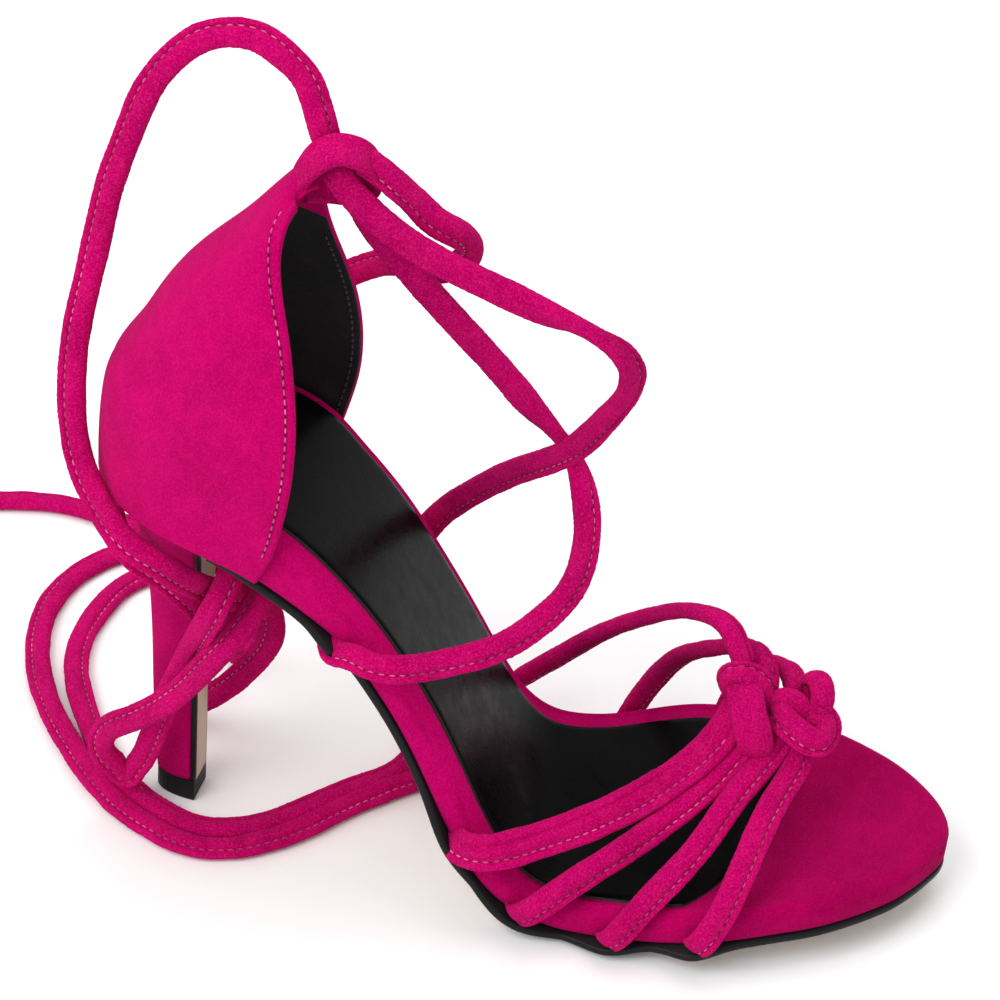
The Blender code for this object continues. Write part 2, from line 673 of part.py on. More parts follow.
def unite(base, others):
    """Joins the other solids into the base, and fills the pockets left inside."""
    for other in others:
        step = base.modifiers.new("join", "BOOLEAN")
        step.operation = "UNION"
        step.object = other
    graph = bpy.context.evaluated_depsgraph_get()
    joined = bpy.data.meshes.new_from_object(base.evaluated_get(graph))
    base.modifiers.clear()
    shape = bmesh.new()
    shape.from_mesh(joined)
    unseen = set(shape.verts)
    shells = []
    while unseen:
        shell = set()
        ahead = [unseen.pop()]
        while ahead:
            vert = ahead.pop()
            shell.add(vert)
            for link in vert.link_edges:
                other = link.other_vert(vert)
                if other in unseen:
                    unseen.remove(other)
                    ahead.append(other)
        shells.append(shell)
    shells.sort(key=len, reverse=True)
    inner = [vert for shell in shells[1:] for vert in shell]
    bmesh.ops.delete(shape, geom=inner, context="VERTS")
    shape.to_mesh(joined)
    shape.free()
    base.data = joined
    for other in others:
        bpy.data.objects.remove(other, do_unlink=True)
    return base


def build_straps(sole, finish):
    """Toe straps: flattened tubes that rise from the rim and are knotted together."""
    made = []
    for number, (name, share, width, points) in enumerate(STRAPS):
        side = -1 if name == "near" else 1
        away = side * (sole.half(share, side) + GAP + 0.5 * STRAP_DEPTH)
        foot = []
        for level in (-RIM_THICKNESS + 0.0009, -0.55 * RIM_THICKNESS):
            x, z = sole.point(share, level)
            foot.append((float(x), away, float(z)))
        route = foot + [tuple(MM * v for v in p) for p in points]
        path = smooth(route, 13)
        reference = path - np.array([0.0, 0.0, 0.004])
        reference[:, 0] = 0.0
        reference[:, 2] = np.maximum(reference[:, 2], 0.0)
        wide = width * STRAP_WIDTH
        body = ribbon_tube(path, reference, wide, STRAP_DEPTH)
        made.append(solid("strap_%d" % number, *body, finish))
    for number, (middle, sizes) in enumerate(KNOTS):
        shape = bmesh.new()
        bmesh.ops.create_uvsphere(shape, u_segments=10, v_segments=7, radius=1.0)
        mesh = bpy.data.meshes.new("knot_core")
        shape.to_mesh(mesh)
        shape.free()
        points = np.array([v.co for v in mesh.vertices]) * np.array(sizes) * MM + np.array(middle) * MM
        faces = [tuple(f.vertices) for f in mesh.polygons]
        made.append(solid("knot_core_%d" % number, points, faces, finish))
        bpy.data.meshes.remove(mesh)
    for number, (middle, axis, long, short) in enumerate(KNOT_RINGS):
        axis = np.array(axis) / np.linalg.norm(axis)
        first = np.cross(axis, (0.0, 1.0, 0.0))
        first /= np.linalg.norm(first)
        second = np.cross(axis, first)
        turn = np.linspace(0, 2 * math.pi, 14, endpoint=False)[:, None]
        away = np.cos(turn) * first * long + np.sin(turn) * second * short
        path = (away + np.array(middle)) * MM
        run = -np.sin(turn) * first * long + np.cos(turn) * second * short
        run /= np.linalg.norm(run, axis=1)[:, None]
        out = np.cross(run, axis)
        angles = np.linspace(0, 2 * math.pi, 8, endpoint=False)
        c = np.cos(angles)[None, :, None]
        s = np.sin(angles)[None, :, None]
        rings = path[:, None, :] + out[:, None, :] * c * 0.5 * STRAP_DEPTH
        rings = rings + (axis * np.ones_like(path))[:, None, :] * s * 0.48 * STRAP_WIDTH
        made.append(solid("knot_ring_%d" % number, *loft(rings, closed=True), finish))
    straps = made[0]
    straps.name = "toe_straps"
    return unite(straps, made[1:])


def build_front_laces(finish):
    """The two laces over the instep, joined where they cross."""
    near = MM * np.array(NEAR_LACE)
    far = MM * np.array(FAR_LACE)
    made = []
    for name, route in (("ankle_laces", near), ("far_lace", far)):
        path = smooth(route, 21)
        reference = np.tile(np.array([0.35, 0.05, 0.9]), (len(path), 1))
        body = ribbon_tube(path, reference, LACE_WIDTH, LACE_WIDTH)
        made.append(solid(name, *body, finish))
    return unite(made[0], made[1:])


def lace(name, route, count, finish):
    """A round lace along a smooth curve through its chosen points."""
    path = smooth(MM * np.array(route), count)
    curve = bpy.data.curves.new(name, "CURVE")
    curve.dimensions = "3D"
    curve.bevel_depth = 0.5 * LACE_WIDTH
    curve.bevel_resolution = 2
    curve.use_fill_caps = True
    line = curve.splines.new("POLY")
    line.points.add(len(path) - 1)
    line.points.foreach_set("co", np.column_stack([path, np.ones(len(path))]).ravel())
    curve.materials.append(finish)
    made = bpy.data.objects.new(name, curve)
    bpy.context.collection.objects.link(made)
    return made


def build_loop(finish):
    """Folded loop at the cup's tip that holds the laces."""
    middle = np.array((31.2, 0.6, 170.8)) * MM
    axis = np.array((0.62, -0.25, -0.74))
    axis /= np.linalg.norm(axis)
    first = np.cross(axis, (0.0, 1.0, 0.0))
    first /= np.linalg.norm(first)
    second = np.cross(axis, first)
    radius = 0.5 * (LOOP_INSIDE + LOOP_WALL)
    turn = np.linspace(0, 2 * math.pi, 20, endpoint=False)[:, None]
    out = np.cos(turn) * first + np.sin(turn) * second
    path = middle + out * radius
    rings = []
    for a, b in ((-0.5, -0.3), (-0.3, -0.5), (0.3, -0.5), (0.5, -0.3), (0.5, 0.3), (0.3, 0.5), (-0.3, 0.5), (-0.5, 0.3)):
        rings.append(path + axis * (a * LOOP_WIDTH) + out * (b * LOOP_WALL))
    return solid("heel_loop", *loft(np.stack(rings, axis=1), closed=True), finish)


def build():
    """Makes every piece of the sandal."""
    for item in list(bpy.data.objects):
        bpy.data.objects.remove(item, do_unlink=True)
    suede = material("pink_suede", (0.62, 0.0, 0.16), 0.9)
    lining = material("black_leather", (0.012, 0.012, 0.013), 0.45)
    edge = material("black_sole_edge", (0.02, 0.02, 0.022), 0.4)
    leather = material("beige_leather", (0.56, 0.40, 0.28), 0.55)
    plastic = material("black_plastic", (0.01, 0.01, 0.011), 0.35)
    sole = Sole()
    breast_front = (HEEL[-1][2] * HEEL_SEAT_LENGTH + COVER_THICKNESS + 3 * GAP + HEEL_INSET)
    xs, _ = sole.point(sole.share, -sole.board(sole.share))
    first = float(np.interp(breast_front - HEEL_INSET, xs, sole.share))
    build_lift(plastic)
    build_heel(sole, suede)
    build_breast(sole, leather)
    build_outsole(sole, edge, first + 0.008)
    build_rim(sole, suede)
    build_sock(sole, lining)
    build_cup(sole, suede)
    build_straps(sole, suede)
    build_loop(suede)
    build_front_laces(suede)
    lace("lace_near", HIGH_LOOP, 80, suede)
    lace("lace_far", BACK_LACE, 80, suede)


build()
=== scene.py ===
"""Lace up heeled sandal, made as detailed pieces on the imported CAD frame.

Units are metres, +X runs to the toe, +Y to the inner side of the foot, +Z up.
"""

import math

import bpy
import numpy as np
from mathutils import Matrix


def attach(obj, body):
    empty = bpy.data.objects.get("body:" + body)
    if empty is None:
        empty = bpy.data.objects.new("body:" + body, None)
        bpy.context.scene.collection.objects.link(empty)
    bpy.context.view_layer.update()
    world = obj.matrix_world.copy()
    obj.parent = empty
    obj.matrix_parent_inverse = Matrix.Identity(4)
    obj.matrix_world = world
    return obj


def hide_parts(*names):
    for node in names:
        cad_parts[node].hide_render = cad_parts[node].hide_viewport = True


bl_info = {
    "name": "Lace up heeled sandal",
    "version": (1, 0, 0),
    "blender": (4, 5, 0),
    "location": "3D View > Sidebar > Sandal",
    "description": "Builds one suede sandal on a fixed frame",
    "category": "Object",
}

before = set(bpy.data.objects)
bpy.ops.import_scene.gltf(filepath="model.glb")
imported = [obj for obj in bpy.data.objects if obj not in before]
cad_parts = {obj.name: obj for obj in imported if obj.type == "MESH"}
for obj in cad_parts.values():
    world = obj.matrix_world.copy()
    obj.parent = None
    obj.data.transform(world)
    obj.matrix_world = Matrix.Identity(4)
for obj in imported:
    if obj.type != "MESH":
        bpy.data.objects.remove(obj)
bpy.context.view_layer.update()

MM = 0.001

# Sizes in metres, as in the CAD, and the small ones that only the scene has
FOOTBED_RUN = 0.1941
FOOTBED_RISE = 0.0970
BALL_WIDTH = 0.0781
HEEL_INSET = 0.0140
RIM_THICKNESS = 0.0078
SEAT_EXTRA = 0.0044
OUTSOLE_THICKNESS = 0.0030
OUTSOLE_MARGIN = 0.0004
STRAP_BULGE = 0.0029
STRAP_BULGE_REACH = 0.0065
SOCK_INSET = 0.0043
GAP = 0.0003
FLAT_SINK = 0.0004
LIFT_HEIGHT = 0.0060
HEEL_TURN = math.radians(-8.0)
HEEL_SEAT_WIDTH = 0.0560
HEEL_SEAT_LENGTH = 0.0232
CUP_WALL = 0.0017
CUP_NEAR_WING = 0.0425
CUP_FAR_WING = 0.0490
STRAP_WIDTH = 0.0064
STRAP_DEPTH = 0.0038
LACE_WIDTH = 0.0062
LACE_DEPTH = 0.0036
STITCH_PITCH = 0.0021
LACE_FOOT = 0.292
NAP = 0.00004

# Camera, fitted to the photograph
CAMERA_PLACE = (0.10337, -0.52778, 0.47282)
CAMERA_TURN = math.radians(3.6176)
CAMERA_TILT = math.radians(35.6115)
CAMERA_ROLL = math.radians(4.989)
CAMERA_LENS = 107.72
TO_CAMERA = (0.0513, -0.8114, 0.5822)

# Shape of the footbed's top, from the back of the seat to the toe:
# run and rise are shares of FOOTBED_RUN and FOOTBED_RISE.
FOOTBED = (
    # run, rise
    (0.000, 0.993),
    (0.058, 0.972),
    (0.133, 0.940),
    (0.205, 0.883),
    (0.262, 0.780),
    (0.311, 0.660),
    (0.353, 0.531),
    (0.392, 0.397),
    (0.427, 0.259),
    (0.463, 0.124),
    (0.514, 0.020),
    (0.590, 0.001),
    (0.667, 0.022),
    (0.743, 0.045),
    (0.820, 0.062),
    (0.897, 0.072),
    (0.974, 0.077),
    (1.000, 0.077),
)

# Outline of the footbed: along is a share of its length on the curve,
# near and far are half widths as shares of BALL_WIDTH.
OUTLINE = (
    # along, near, far
    (0.000, 0.000, 0.000),
    (0.010, 0.131, 0.131),
    (0.035, 0.234, 0.234),
    (0.075, 0.305, 0.309),
    (0.140, 0.350, 0.360),
    (0.190, 0.360, 0.358),
    (0.240, 0.355, 0.345),
    (0.380, 0.342, 0.344),
    (0.525, 0.385, 0.374),
    (0.650, 0.462, 0.444),
    (0.752, 0.493, 0.507),
    (0.855, 0.426, 0.442),
    (0.938, 0.286, 0.303),
    (0.983, 0.134, 0.154),
    (1.000, 0.000, 0.000),
)

# Heel shaft: height is a share of the way from the lift to the seat,
# back and front are shares of HEEL_SEAT_LENGTH from the tip's middle,
# half is a share of HEEL_SEAT_WIDTH.
HEEL = (
    # height, back, front, half
    (0.000, -0.228, 0.181, 0.073),
    (0.280, -0.276, 0.185, 0.082),
    (0.420, -0.284, 0.190, 0.089),
    (0.575, -0.306, 0.203, 0.107),
    (0.680, -0.345, 0.224, 0.134),
    (0.780, -0.400, 0.259, 0.188),
    (0.880, -0.475, 0.302, 0.277),
    (1.000, -0.600, 0.358, 0.455),
)

# Heel cup: its two front edges and the middle of its back, in millimetres
# from under the seat to the tip inside the loop.
CUP_NEAR_EDGE = (
    (21.0, -29.2, 85.5), (23.8, -30.2, 92.0), (26.3, -31.4, 102.0), (27.8, -32.0, 111.5),
    (28.5, -32.0, 121.0), (28.3, -31.0, 130.0), (27.4, -29.5, 137.5), (26.0, -27.5, 145.3),
    (24.1, -24.8, 152.3), (22.4, -21.0, 158.5), (21.8, -16.0, 163.3), (23.0, -11.0, 166.4),
    (25.2, -7.5, 168.0), (27.6, -4.9, 169.4),
)
CUP_FAR_EDGE = (
    (27.5, 29.4, 82.5), (29.8, 29.9, 88.0), (31.8, 29.8, 95.0), (33.6, 28.6, 103.5), (34.4, 26.6, 112.5),
    (34.3, 23.8, 121.5), (33.3, 20.3, 131.0), (31.8, 16.0, 140.0), (30.0, 11.6, 148.5), (28.6, 8.0, 156.0),
    (28.0, 5.4, 163.0), (28.4, 4.2, 168.0),
)
CUP_BACK = (
    (-17.0, 0.0, 98.0), (-16.6, 0.0, 106.0), (-15.6, 0.0, 114.0), (-13.0, 0.0, 122.5), (-9.3, 0.0, 130.5),
    (-5.0, 0.0, 138.5), (0.3, 0.0, 146.2), (6.5, 0.0, 153.0), (12.6, 0.0, 159.0), (17.8, 0.0, 165.0),
    (21.3, 0.0, 169.0), (23.2, 0.0, 171.0),
)

# Toe straps: side of the foot, share of the footbed's length where the foot
# of the strap is tucked in, width as a share of STRAP_WIDTH, then its
# chosen points in millimetres from there to its knot.
STRAPS = (
    ("near", 0.533, 1.30, (
        (76, -36.5, 24.5), (84, -33.5, 25.5), (94, -27.5, 26.5), (105, -20.5, 29),
        (116, -12.5, 33.5), (124, -6, 40), (127.5, -3, 47))),
    ("near", 0.607, 1.00, (
        (91, -38, 14.5), (97, -34, 18), (105.5, -28, 22), (117.5, -18, 28),
        (127, -9.5, 35), (131, -5, 41))),
    ("near", 0.681, 1.00, (
        (110.5, -39, 14), (115.5, -35, 19.5), (123, -26.5, 26), (130, -15.5, 33),
        (136, -8, 38.5), (139, -4, 43))),
    ("near", 0.762, 1.00, (
        (129, -39.5, 17), (132, -34, 23.5), (135, -25.5, 29), (139, -15.5, 34),
        (142.5, -8, 38.5), (143, -4, 42))),
    ("far", 0.565, 0.90, (
        (83.5, 34.5, 24), (94, 31.5, 36), (107, 22.5, 51), (116.5, 14, 60),
        (123.5, 7.5, 61.5), (127.5, 3, 56))),
    ("far", 0.673, 0.90, (
        (110.5, 39, 22), (118.5, 28, 38), (126, 18.5, 48), (131, 11, 52.5),
        (133.5, 5.5, 50), (133, 1, 45))),
    ("far", 0.772, 0.90, (
        (131, 37.5, 25), (134.5, 24, 40), (139, 14, 46), (141, 6, 46))),
)

# Laces, chosen points in millimetres. Each front lace starts beside the rim
# at the waist, crosses the other over the instep and ends in the cup's loop.
NEAR_LACE = (
    (37.6, -24.0, 70.5), (39.2, -28.6, 69.2), (42.3, -30.6, 70.3),
    (47.5, -33.2, 70.5), (55, -33, 70.5), (64.5, -31, 72.5),
    (74.5, -27, 75), (82, -20, 77.5), (87.5, -12, 80.5), (89.5, -4, 83.5),
    (89.5, 3, 87), (87.5, 10, 92.5), (84, 14.5, 98.5), (78.5, 13, 106),
    (68, 8.5, 121), (56.5, 4.5, 136), (48.5, 2.5, 146), (41.5, 2.5, 154),
    (36.5, 3, 161), (33, 3, 168), (31.0, 1.5, 172.0),
)
FAR_LACE = (
    (49, 31, 55), (53, 31.5, 63), (61, 28.5, 74), (72.5, 20, 88.5), (83.5, 11.5, 101),
    (91.5, 3.5, 117), (95.5, -3, 129.5), (94, -7, 138.5), (88.5, -8, 143.5),
    (79.5, -8, 147), (66.5, -6.5, 151), (54, -5.5, 155.5), (46, -5, 159.5),
    (38.2, -4.4, 165.2), (32.6, -3.0, 170.2), (29.0, -0.5, 174.5),
)

# Where each front lace turns its sewn face away: share of the length, degrees.
NEAR_ROLLS = ((0.0, 0), (0.45, 0), (0.62, 150), (1.0, 150))
FAR_ROLLS = ((0.0, 0), (0.55, 0), (0.72, 160), (1.0, 160))

# The near lace goes on from the loop, stands up in a high loop, runs round
# the heel, hangs in a bight and lies along the floor to its end.
HIGH_LOOP = (
    (30, 0.5, 172.8), (28.3, 0.5, 178.5), (26.5, 1, 184), (24, 2, 189.5),
    (19, 3, 194), (14, 4, 196.5), (8, 4, 197), (2, 4, 195), (-3, 3, 191),
    (-8, 2, 184), (-12, 1, 173.5), (-15.5, 0, 162.5), (-18, -1, 150.5),
    (-20, -3, 139.5), (-22, -5, 128), (-22.5, -8, 117), (-21.5, -11, 106.5),
    (-18.5, -14.5, 98), (-14, -19, 93), (-7, -25.5, 89), (0.5, -26, 84.5),
    (6, -21.5, 77.5), (10.8, -13.2, 69.3), (13.2, -6.5, 63.5), (15.2, -1, 58),
    (14.5, 5, 55.5), (10.2, 11.4, 55.4), (4, 15, 59.5), (0.5, 18, 66), (3.5, 20, 71.5),
    (9.5, 17.5, 73.5), (16.5, 8.5, 72.5), (20.5, -3, 71), (20, -12.5, 69),
    (16.5, -19, 64), (11.2, -20.5, 56.5), (5.5, -19.5, 47.5), (-1, -17.8, 39),
    (-8, -16.2, 32.5), (-13.2, -14, 27.5), (-16, -11.5, 21), (-15, -9.5, 14),
    (-10.5, -8.5, 10.5), (-6.5, -9.2, 16), (-3.5, -10.4, 26), (0, -11.8, 37.5),
    (3.8, -14, 49), (8.2, -20, 62.3), (11.8, -22.3, 72), (14, -15.5, 76.3),
    (13.8, -3, 72.8), (11.8, 8.5, 65), (9.6, 19, 58), (7.3, 23.5, 47), (5.8, 27, 34),
    (5.5, 34, 19), (6, 45, 8), (7, 58, 3.4), (6, 71, 2.6), (1, 82, 2.6),
    (-7, 89, 2.6), (-17, 92, 2.6), (-27, 94, 2.6), (-36, 97.5, 2.6),
    (-44.5, 100.5, 2.6), (-53, 102, 2.6), (-61, 101.5, 2.6), (-69, 100, 2.6),
    (-78, 97, 2.6), (-86, 93, 2.6),
)

# The far lace comes back out of the loop, turns round behind the cup, runs
# down round the heel and lies on the floor in one long double loop.
BACK_LACE = (
    (36.8, -0.8, 174.2), (41, -1.1, 171.7), (44.5, -0.8, 168.7), (47.8, -0.1, 165.4), (51.9, 0.9, 161),
    (56.5, 3, 157.5), (58.5, 8, 151.5), (56.5, 14, 144), (52, 19, 139),
    (43.5, 28, 134), (34, 36, 127), (24, 38.5, 119), (12, 37, 110),
    (0, 34, 101), (-9, 25, 92.5), (-14.5, 14, 87), (-16.3, 5, 83.5),
    (-15.8, -2, 81), (-13.2, -8, 78.5), (-9, -12, 76), (-3.5, -13.2, 72.8),
    (2, -13, 68.2), (6.5, -10.8, 62), (10, -6.8, 56), (12.8, -1.2, 51),
    (15.5, 4, 50), (18.4, 8, 49), (19.5, 9, 44), (18.5, 9.5, 38),
    (15, 10.5, 31), (10.5, 12, 24), (4.5, 13.5, 17), (-1.5, 17, 11),
    (-4.5, 25, 6.5), (-5, 36, 3.6), (-4.5, 48, 2.6), (-4.5, 60, 2.6),
    (-7.5, 71, 2.6), (-13.5, 80, 2.6), (-22, 85.5, 2.6), (-31, 84.5, 2.6),
    (-38.5, 77.5, 2.6), (-44, 66, 2.6), (-45.5, 51.5, 2.6), (-43, 37, 2.6),
    (-36, 20, 2.6), (-26, 4.5, 2.6), (-14.5, -9.5, 2.6), (-3, -18, 2.6),
    (9.5, -22.5, 2.6), (20.5, -19.5, 2.6), (31, -12, 2.6), (41, -1.5, 2.6),
    (51.5, 7.5, 2.6), (60, 14.5, 2.6), (67, 23, 2.6), (68.5, 32, 2.6),
    (63, 37.5, 2.6), (56.5, 33.5, 2.6), (54.5, 24, 2.6), (51, 14, 2.6),
    (40.5, 4.5, 2.6), (30, -5.5, 2.6), (19.5, -13, 2.6), (8, -15.5, 2.6),
    (-2.2, -11.4, 2.6), (-12.5, -3, 2.6), (-21, 8.5, 2.6), (-28.5, 23, 2.6),
    (-33.5, 38, 2.6), (-34, 51, 2.6), (-31.5, 63, 2.6), (-26, 74, 2.6),
    (-19.5, 78.5, 2.6),
)


def pieces_of(names, rows):
    """Columns of a table by name."""
    return {name: np.array([row[i] for row in rows]) for i, name in enumerate(names)}


def monotone(x, xs, ys):
    """Smooth curve through the points that never overshoots them."""
    step = np.diff(xs)
    slope = np.diff(ys) / step
    tangent = np.zeros(len(xs))
    same = slope[:-1] * slope[1:] > 0
    w1 = 2 * step[1:] + step[:-1]
    w2 = step[1:] + 2 * step[:-1]
    first = np.where(same, slope[:-1], 1.0)
    second = np.where(same, slope[1:], 1.0)
    tangent[1:-1] = np.where(same, (w1 + w2) / (w1 / first + w2 / second), 0.0)
    tangent[0] = slope[0]
    tangent[-1] = slope[-1]
    i = np.clip(np.searchsorted(xs, x) - 1, 0, len(xs) - 2)
    t = (x - xs[i]) / step[i]
    a = (1 + 2 * t) * (1 - t) ** 2
    b = t * (1 - t) ** 2
    c = t * t * (3 - 2 * t)
    d = t * t * (t - 1)
    return a * ys[i] + b * step[i] * tangent[i] + c * ys[i + 1] + d * step[i] * tangent[i + 1]


def smooth(points, count):
    """Natural cubic curve through the points, as count evenly spaced ones."""
    points = np.asarray(points, float)
    gaps = np.linalg.norm(np.diff(points, axis=0), axis=1)
    at = np.concatenate([[0.0], np.cumsum(gaps)])
    n = len(points)
    matrix = np.eye(n)
    right = np.zeros_like(points)
    for k in range(1, n - 1):
        matrix[k, k - 1] = gaps[k - 1]
        matrix[k, k] = 2 * (gaps[k - 1] + gaps[k])
        matrix[k, k + 1] = gaps[k]
        change = (points[k + 1] - points[k]) / gaps[k] - (points[k] - points[k - 1]) / gaps[k - 1]
        right[k] = 6 * change
    bend = np.linalg.solve(matrix, right)
    fine = np.linspace(0.0, at[-1], 40 * n)
    i = np.clip(np.searchsorted(at, fine) - 1, 0, n - 2)
    h = gaps[i][:, None]
    left = (at[i + 1] - fine)[:, None]
    rest = (fine - at[i])[:, None]
    curve = bend[i] * left ** 3 / (6 * h) + bend[i + 1] * rest ** 3 / (6 * h)
    curve += (points[i] / h - bend[i] * h / 6) * left
    curve += (points[i + 1] / h - bend[i + 1] * h / 6) * rest
    run = distances(curve)
    even = np.linspace(0.0, run[-1], count)
    return np.stack([np.interp(even, run, curve[:, k]) for k in range(curve.shape[1])], axis=1)


def distances(path):
    """Distance along a path at each of its points."""
    return np.concatenate([[0.0], np.cumsum(np.linalg.norm(np.diff(path, axis=0), axis=1))])


def path_length(path):
    """Whole length of a path."""
    return float(np.linalg.norm(np.diff(path, axis=0), axis=1).sum())


def read_at(stops, at, values):
    """Rows of values, given at some distances, read at other ones."""
    return np.stack([np.interp(stops, at, values[:, k]) for k in range(3)], axis=1)


def eased(v):
    """A share from 0 to 1 with soft ends."""
    return v * v * (3 - 2 * v)


class Sole:
    """The footbed's curved centre line and its two half widths."""

    def __init__(self, look):
        bed = pieces_of(("run", "rise"), FOOTBED)
        stack = RIM_THICKNESS + GAP + OUTSOLE_THICKNESS + GAP
        x = bed["run"] * look.footbed_run - HEEL_INSET
        z = bed["rise"] * look.footbed_rise + stack - FLAT_SINK
        self.line = smooth(np.stack([x, z], axis=1), 961)
        self.share = np.linspace(0.0, 1.0, 961)
        self.length = np.linalg.norm(np.diff(self.line, axis=0), axis=1).sum()
        slope = np.gradient(self.line, axis=0)
        slope /= np.linalg.norm(slope, axis=1)[:, None]
        self.slope = slope
        self.width = look.ball_width
        out = pieces_of(("along", "near", "far"), OUTLINE)
        self.near = np.sqrt(np.maximum(monotone(self.share, out["along"], out["near"] ** 2), 0))
        self.far = np.sqrt(np.maximum(monotone(self.share, out["along"], out["far"] ** 2), 0))

    def half(self, share, side):
        """Half width of the footbed at a share of its length."""
        column = self.near if side < 0 else self.far
        return np.interp(share, self.share, column) * self.width

    def board(self, share):
        """Thickness of the board, which is deeper at the seat than at the toe."""
        fade = np.clip((0.33 - share) / 0.16, 0.0, 1.0)
        return RIM_THICKNESS + SEAT_EXTRA * eased(fade)

    def point(self, share, level):
        """Points in the middle plane, level above the footbed's top."""
        x = np.interp(share, self.share, self.line[:, 0])
        z = np.interp(share, self.share, self.line[:, 1])
        dx = np.interp(share, self.share, self.slope[:, 0])
        dz = np.interp(share, self.share, self.slope[:, 1])
        return x - dz * level, z + dx * level


def stations(first, last, count):
    """Shares along the footbed, closer together at both round ends."""
    u = np.linspace(0.0, 1.0, count)
    eased = 0.5 - 0.5 * np.cos(np.pi * u)
    return first + (last - first) * (0.45 * u + 0.55 * eased)


def unit(v):
    """Vectors made one long."""
    return v / np.maximum(np.linalg.norm(v, axis=-1, keepdims=True), 1e-12)


# Meshes
def mesh_object(name, points, faces, finishes, index=None):
    """One mesh object from arrays of points and of four or three corner faces."""
    mesh = bpy.data.meshes.new(name)
    mesh.from_pydata(np.asarray(points, float).tolist(), [], [list(map(int, f)) for f in faces])
    for finish in finishes:
        mesh.materials.append(finish)
    if index is not None:
        mesh.polygons.foreach_set("material_index", np.asarray(index, np.int32))
    mesh.polygons.foreach_set("use_smooth", np.full(len(mesh.polygons), True))
    mesh.update()
    made = bpy.data.objects.new(name, mesh)
    bpy.context.collection.objects.link(made)
    return made


def skin_faces(rows, columns, wrap):
    """Quads of a grid, row by row; wrap joins the last column to the first."""
    i = np.arange(rows - 1)[:, None]
    k = np.arange(columns if wrap else columns - 1)[None, :]
    a = i * columns + k
    b = i * columns + (k + 1) % columns
    return np.stack([a, b, b + columns, a + columns], axis=2).reshape(-1, 4)


def skin(name, grid, finishes, wrap=False, capped=False, index=None, flip=False):
    """A surface through a grid of points. capped closes both ends with a small dome."""
    grid = np.asarray(grid, float)
    rows, columns = grid.shape[:2]
    faces = skin_faces(rows, columns, wrap)
    points = grid.reshape(-1, 3)
    marks = np.zeros(len(faces), int) if index is None else np.asarray(index)
    faces = [list(f) for f in faces]
    marks = list(marks)
    if capped:
        middles = [grid[0].mean(axis=0), grid[-1].mean(axis=0)]
        points = np.concatenate([points, middles])
        for end, start in ((0, 0), (1, (rows - 1) * columns)):
            tip = rows * columns + end
            for k in range(columns):
                a = start + k
                b = start + (k + 1) % columns
                faces.append([b, a, tip] if end == 0 else [a, b, tip])
                marks.append(marks[0])
    if flip:
        faces = [f[::-1] for f in faces]
    return mesh_object(name, points, faces, finishes, marks)


def dome_ends(grid, reach):
    """Adds rings that round off both ends of a tube."""
    rings = [grid]
    for end in (0, -1):
        middle = grid[end].mean(axis=0)
        out = unit(grid[end].mean(axis=0) - grid[1 if end == 0 else -2].mean(axis=0))
        extra = []
        for t in (0.5, 0.8, 0.97):
            angle = t * 0.5 * math.pi
            extra.append(middle + (grid[end] - middle) * math.cos(angle) + out * reach * math.sin(angle))
        if end == 0:
            rings = [np.array(extra[::-1])] + rings
        else:
            rings = rings + [np.array(extra)]
    return np.concatenate(rings)


def turned_frame(path, reference, roll=0.0, calm=0.010):
    """Directions across a path that face a reference as calmly as they can.

    A frame carried along the path without twist is turned by an angle that is
    the weighted running mean of the angle to the reference direction.
    """
    run = unit(np.gradient(path, axis=0))
    first = np.zeros_like(path)
    seed = np.cross(run[0], (0.3, 0.2, 0.9))
    first[0] = unit(seed)
    for k in range(1, len(path)):
        v = first[k - 1] - run[k] * (first[k - 1] @ run[k])
        first[k] = v / np.linalg.norm(v)
    second = np.cross(run, first)
    flat = reference - run * (reference * run).sum(axis=1)[:, None]
    weight = (flat ** 2).sum(axis=1) + 1e-3
    angle = np.unwrap(np.arctan2((flat * second).sum(axis=1), (flat * first).sum(axis=1)))
    at = distances(path)
    step = at[-1] / (len(path) - 1)
    reach = max(int(3 * calm / step), 1)
    kernel = np.exp(-0.5 * (np.arange(-reach, reach + 1) * step / calm) ** 2)
    top = np.convolve(np.pad(angle * weight, reach, mode="edge"), kernel, mode="valid")
    low = np.convolve(np.pad(weight, reach, mode="edge"), kernel, mode="valid")
    angle = top / low + roll
    toward = first * np.cos(angle)[:, None] + second * np.sin(angle)[:, None]
    return run, toward, np.cross(run, toward)


SECTION_ACROSS = np.array([-1, -0.97, -0.9, -0.78, -0.64, -0.52, -0.44, -0.36, -0.22, -0.05, 0.12, 0.24,
                           0.33, 0.39, 0.45, 0.51, 0.58, 0.7, 0.84, 0.95, 1.0])
STITCH_LINE = 0.45


def groove(a, place, size, reach):
    """A dent of a given size and reach at a place across a strap."""
    return size * np.exp(-(((a - place) / reach) ** 2))


def section_depth(a, sewn=True, double=False):
    """Half depth of a strap across its width. The sewn face has a filled roll, a groove with
    stitches and a flat edge, a double strap one more groove; the other face is one low roll."""
    roll = np.sqrt(np.maximum(1 - np.abs((a + 0.22) / 0.78) ** 2.6, 0.0))
    edge = 0.56 * np.sqrt(np.maximum(1 - np.abs((a - 0.66) / 0.34) ** 6, 0.0))
    shape = np.maximum(roll, edge)
    if not sewn:
        return 0.62 * shape + 0.38 * np.sqrt(np.maximum(1 - np.abs(a) ** 3, 0.0))
    shape = shape - groove(a, STITCH_LINE, 0.24, 0.085)
    if double:
        shape = shape - groove(a, -0.40, 0.42, 0.10) - groove(a, 0.20, 0.30, 0.08)
    return np.maximum(shape, 0.0)


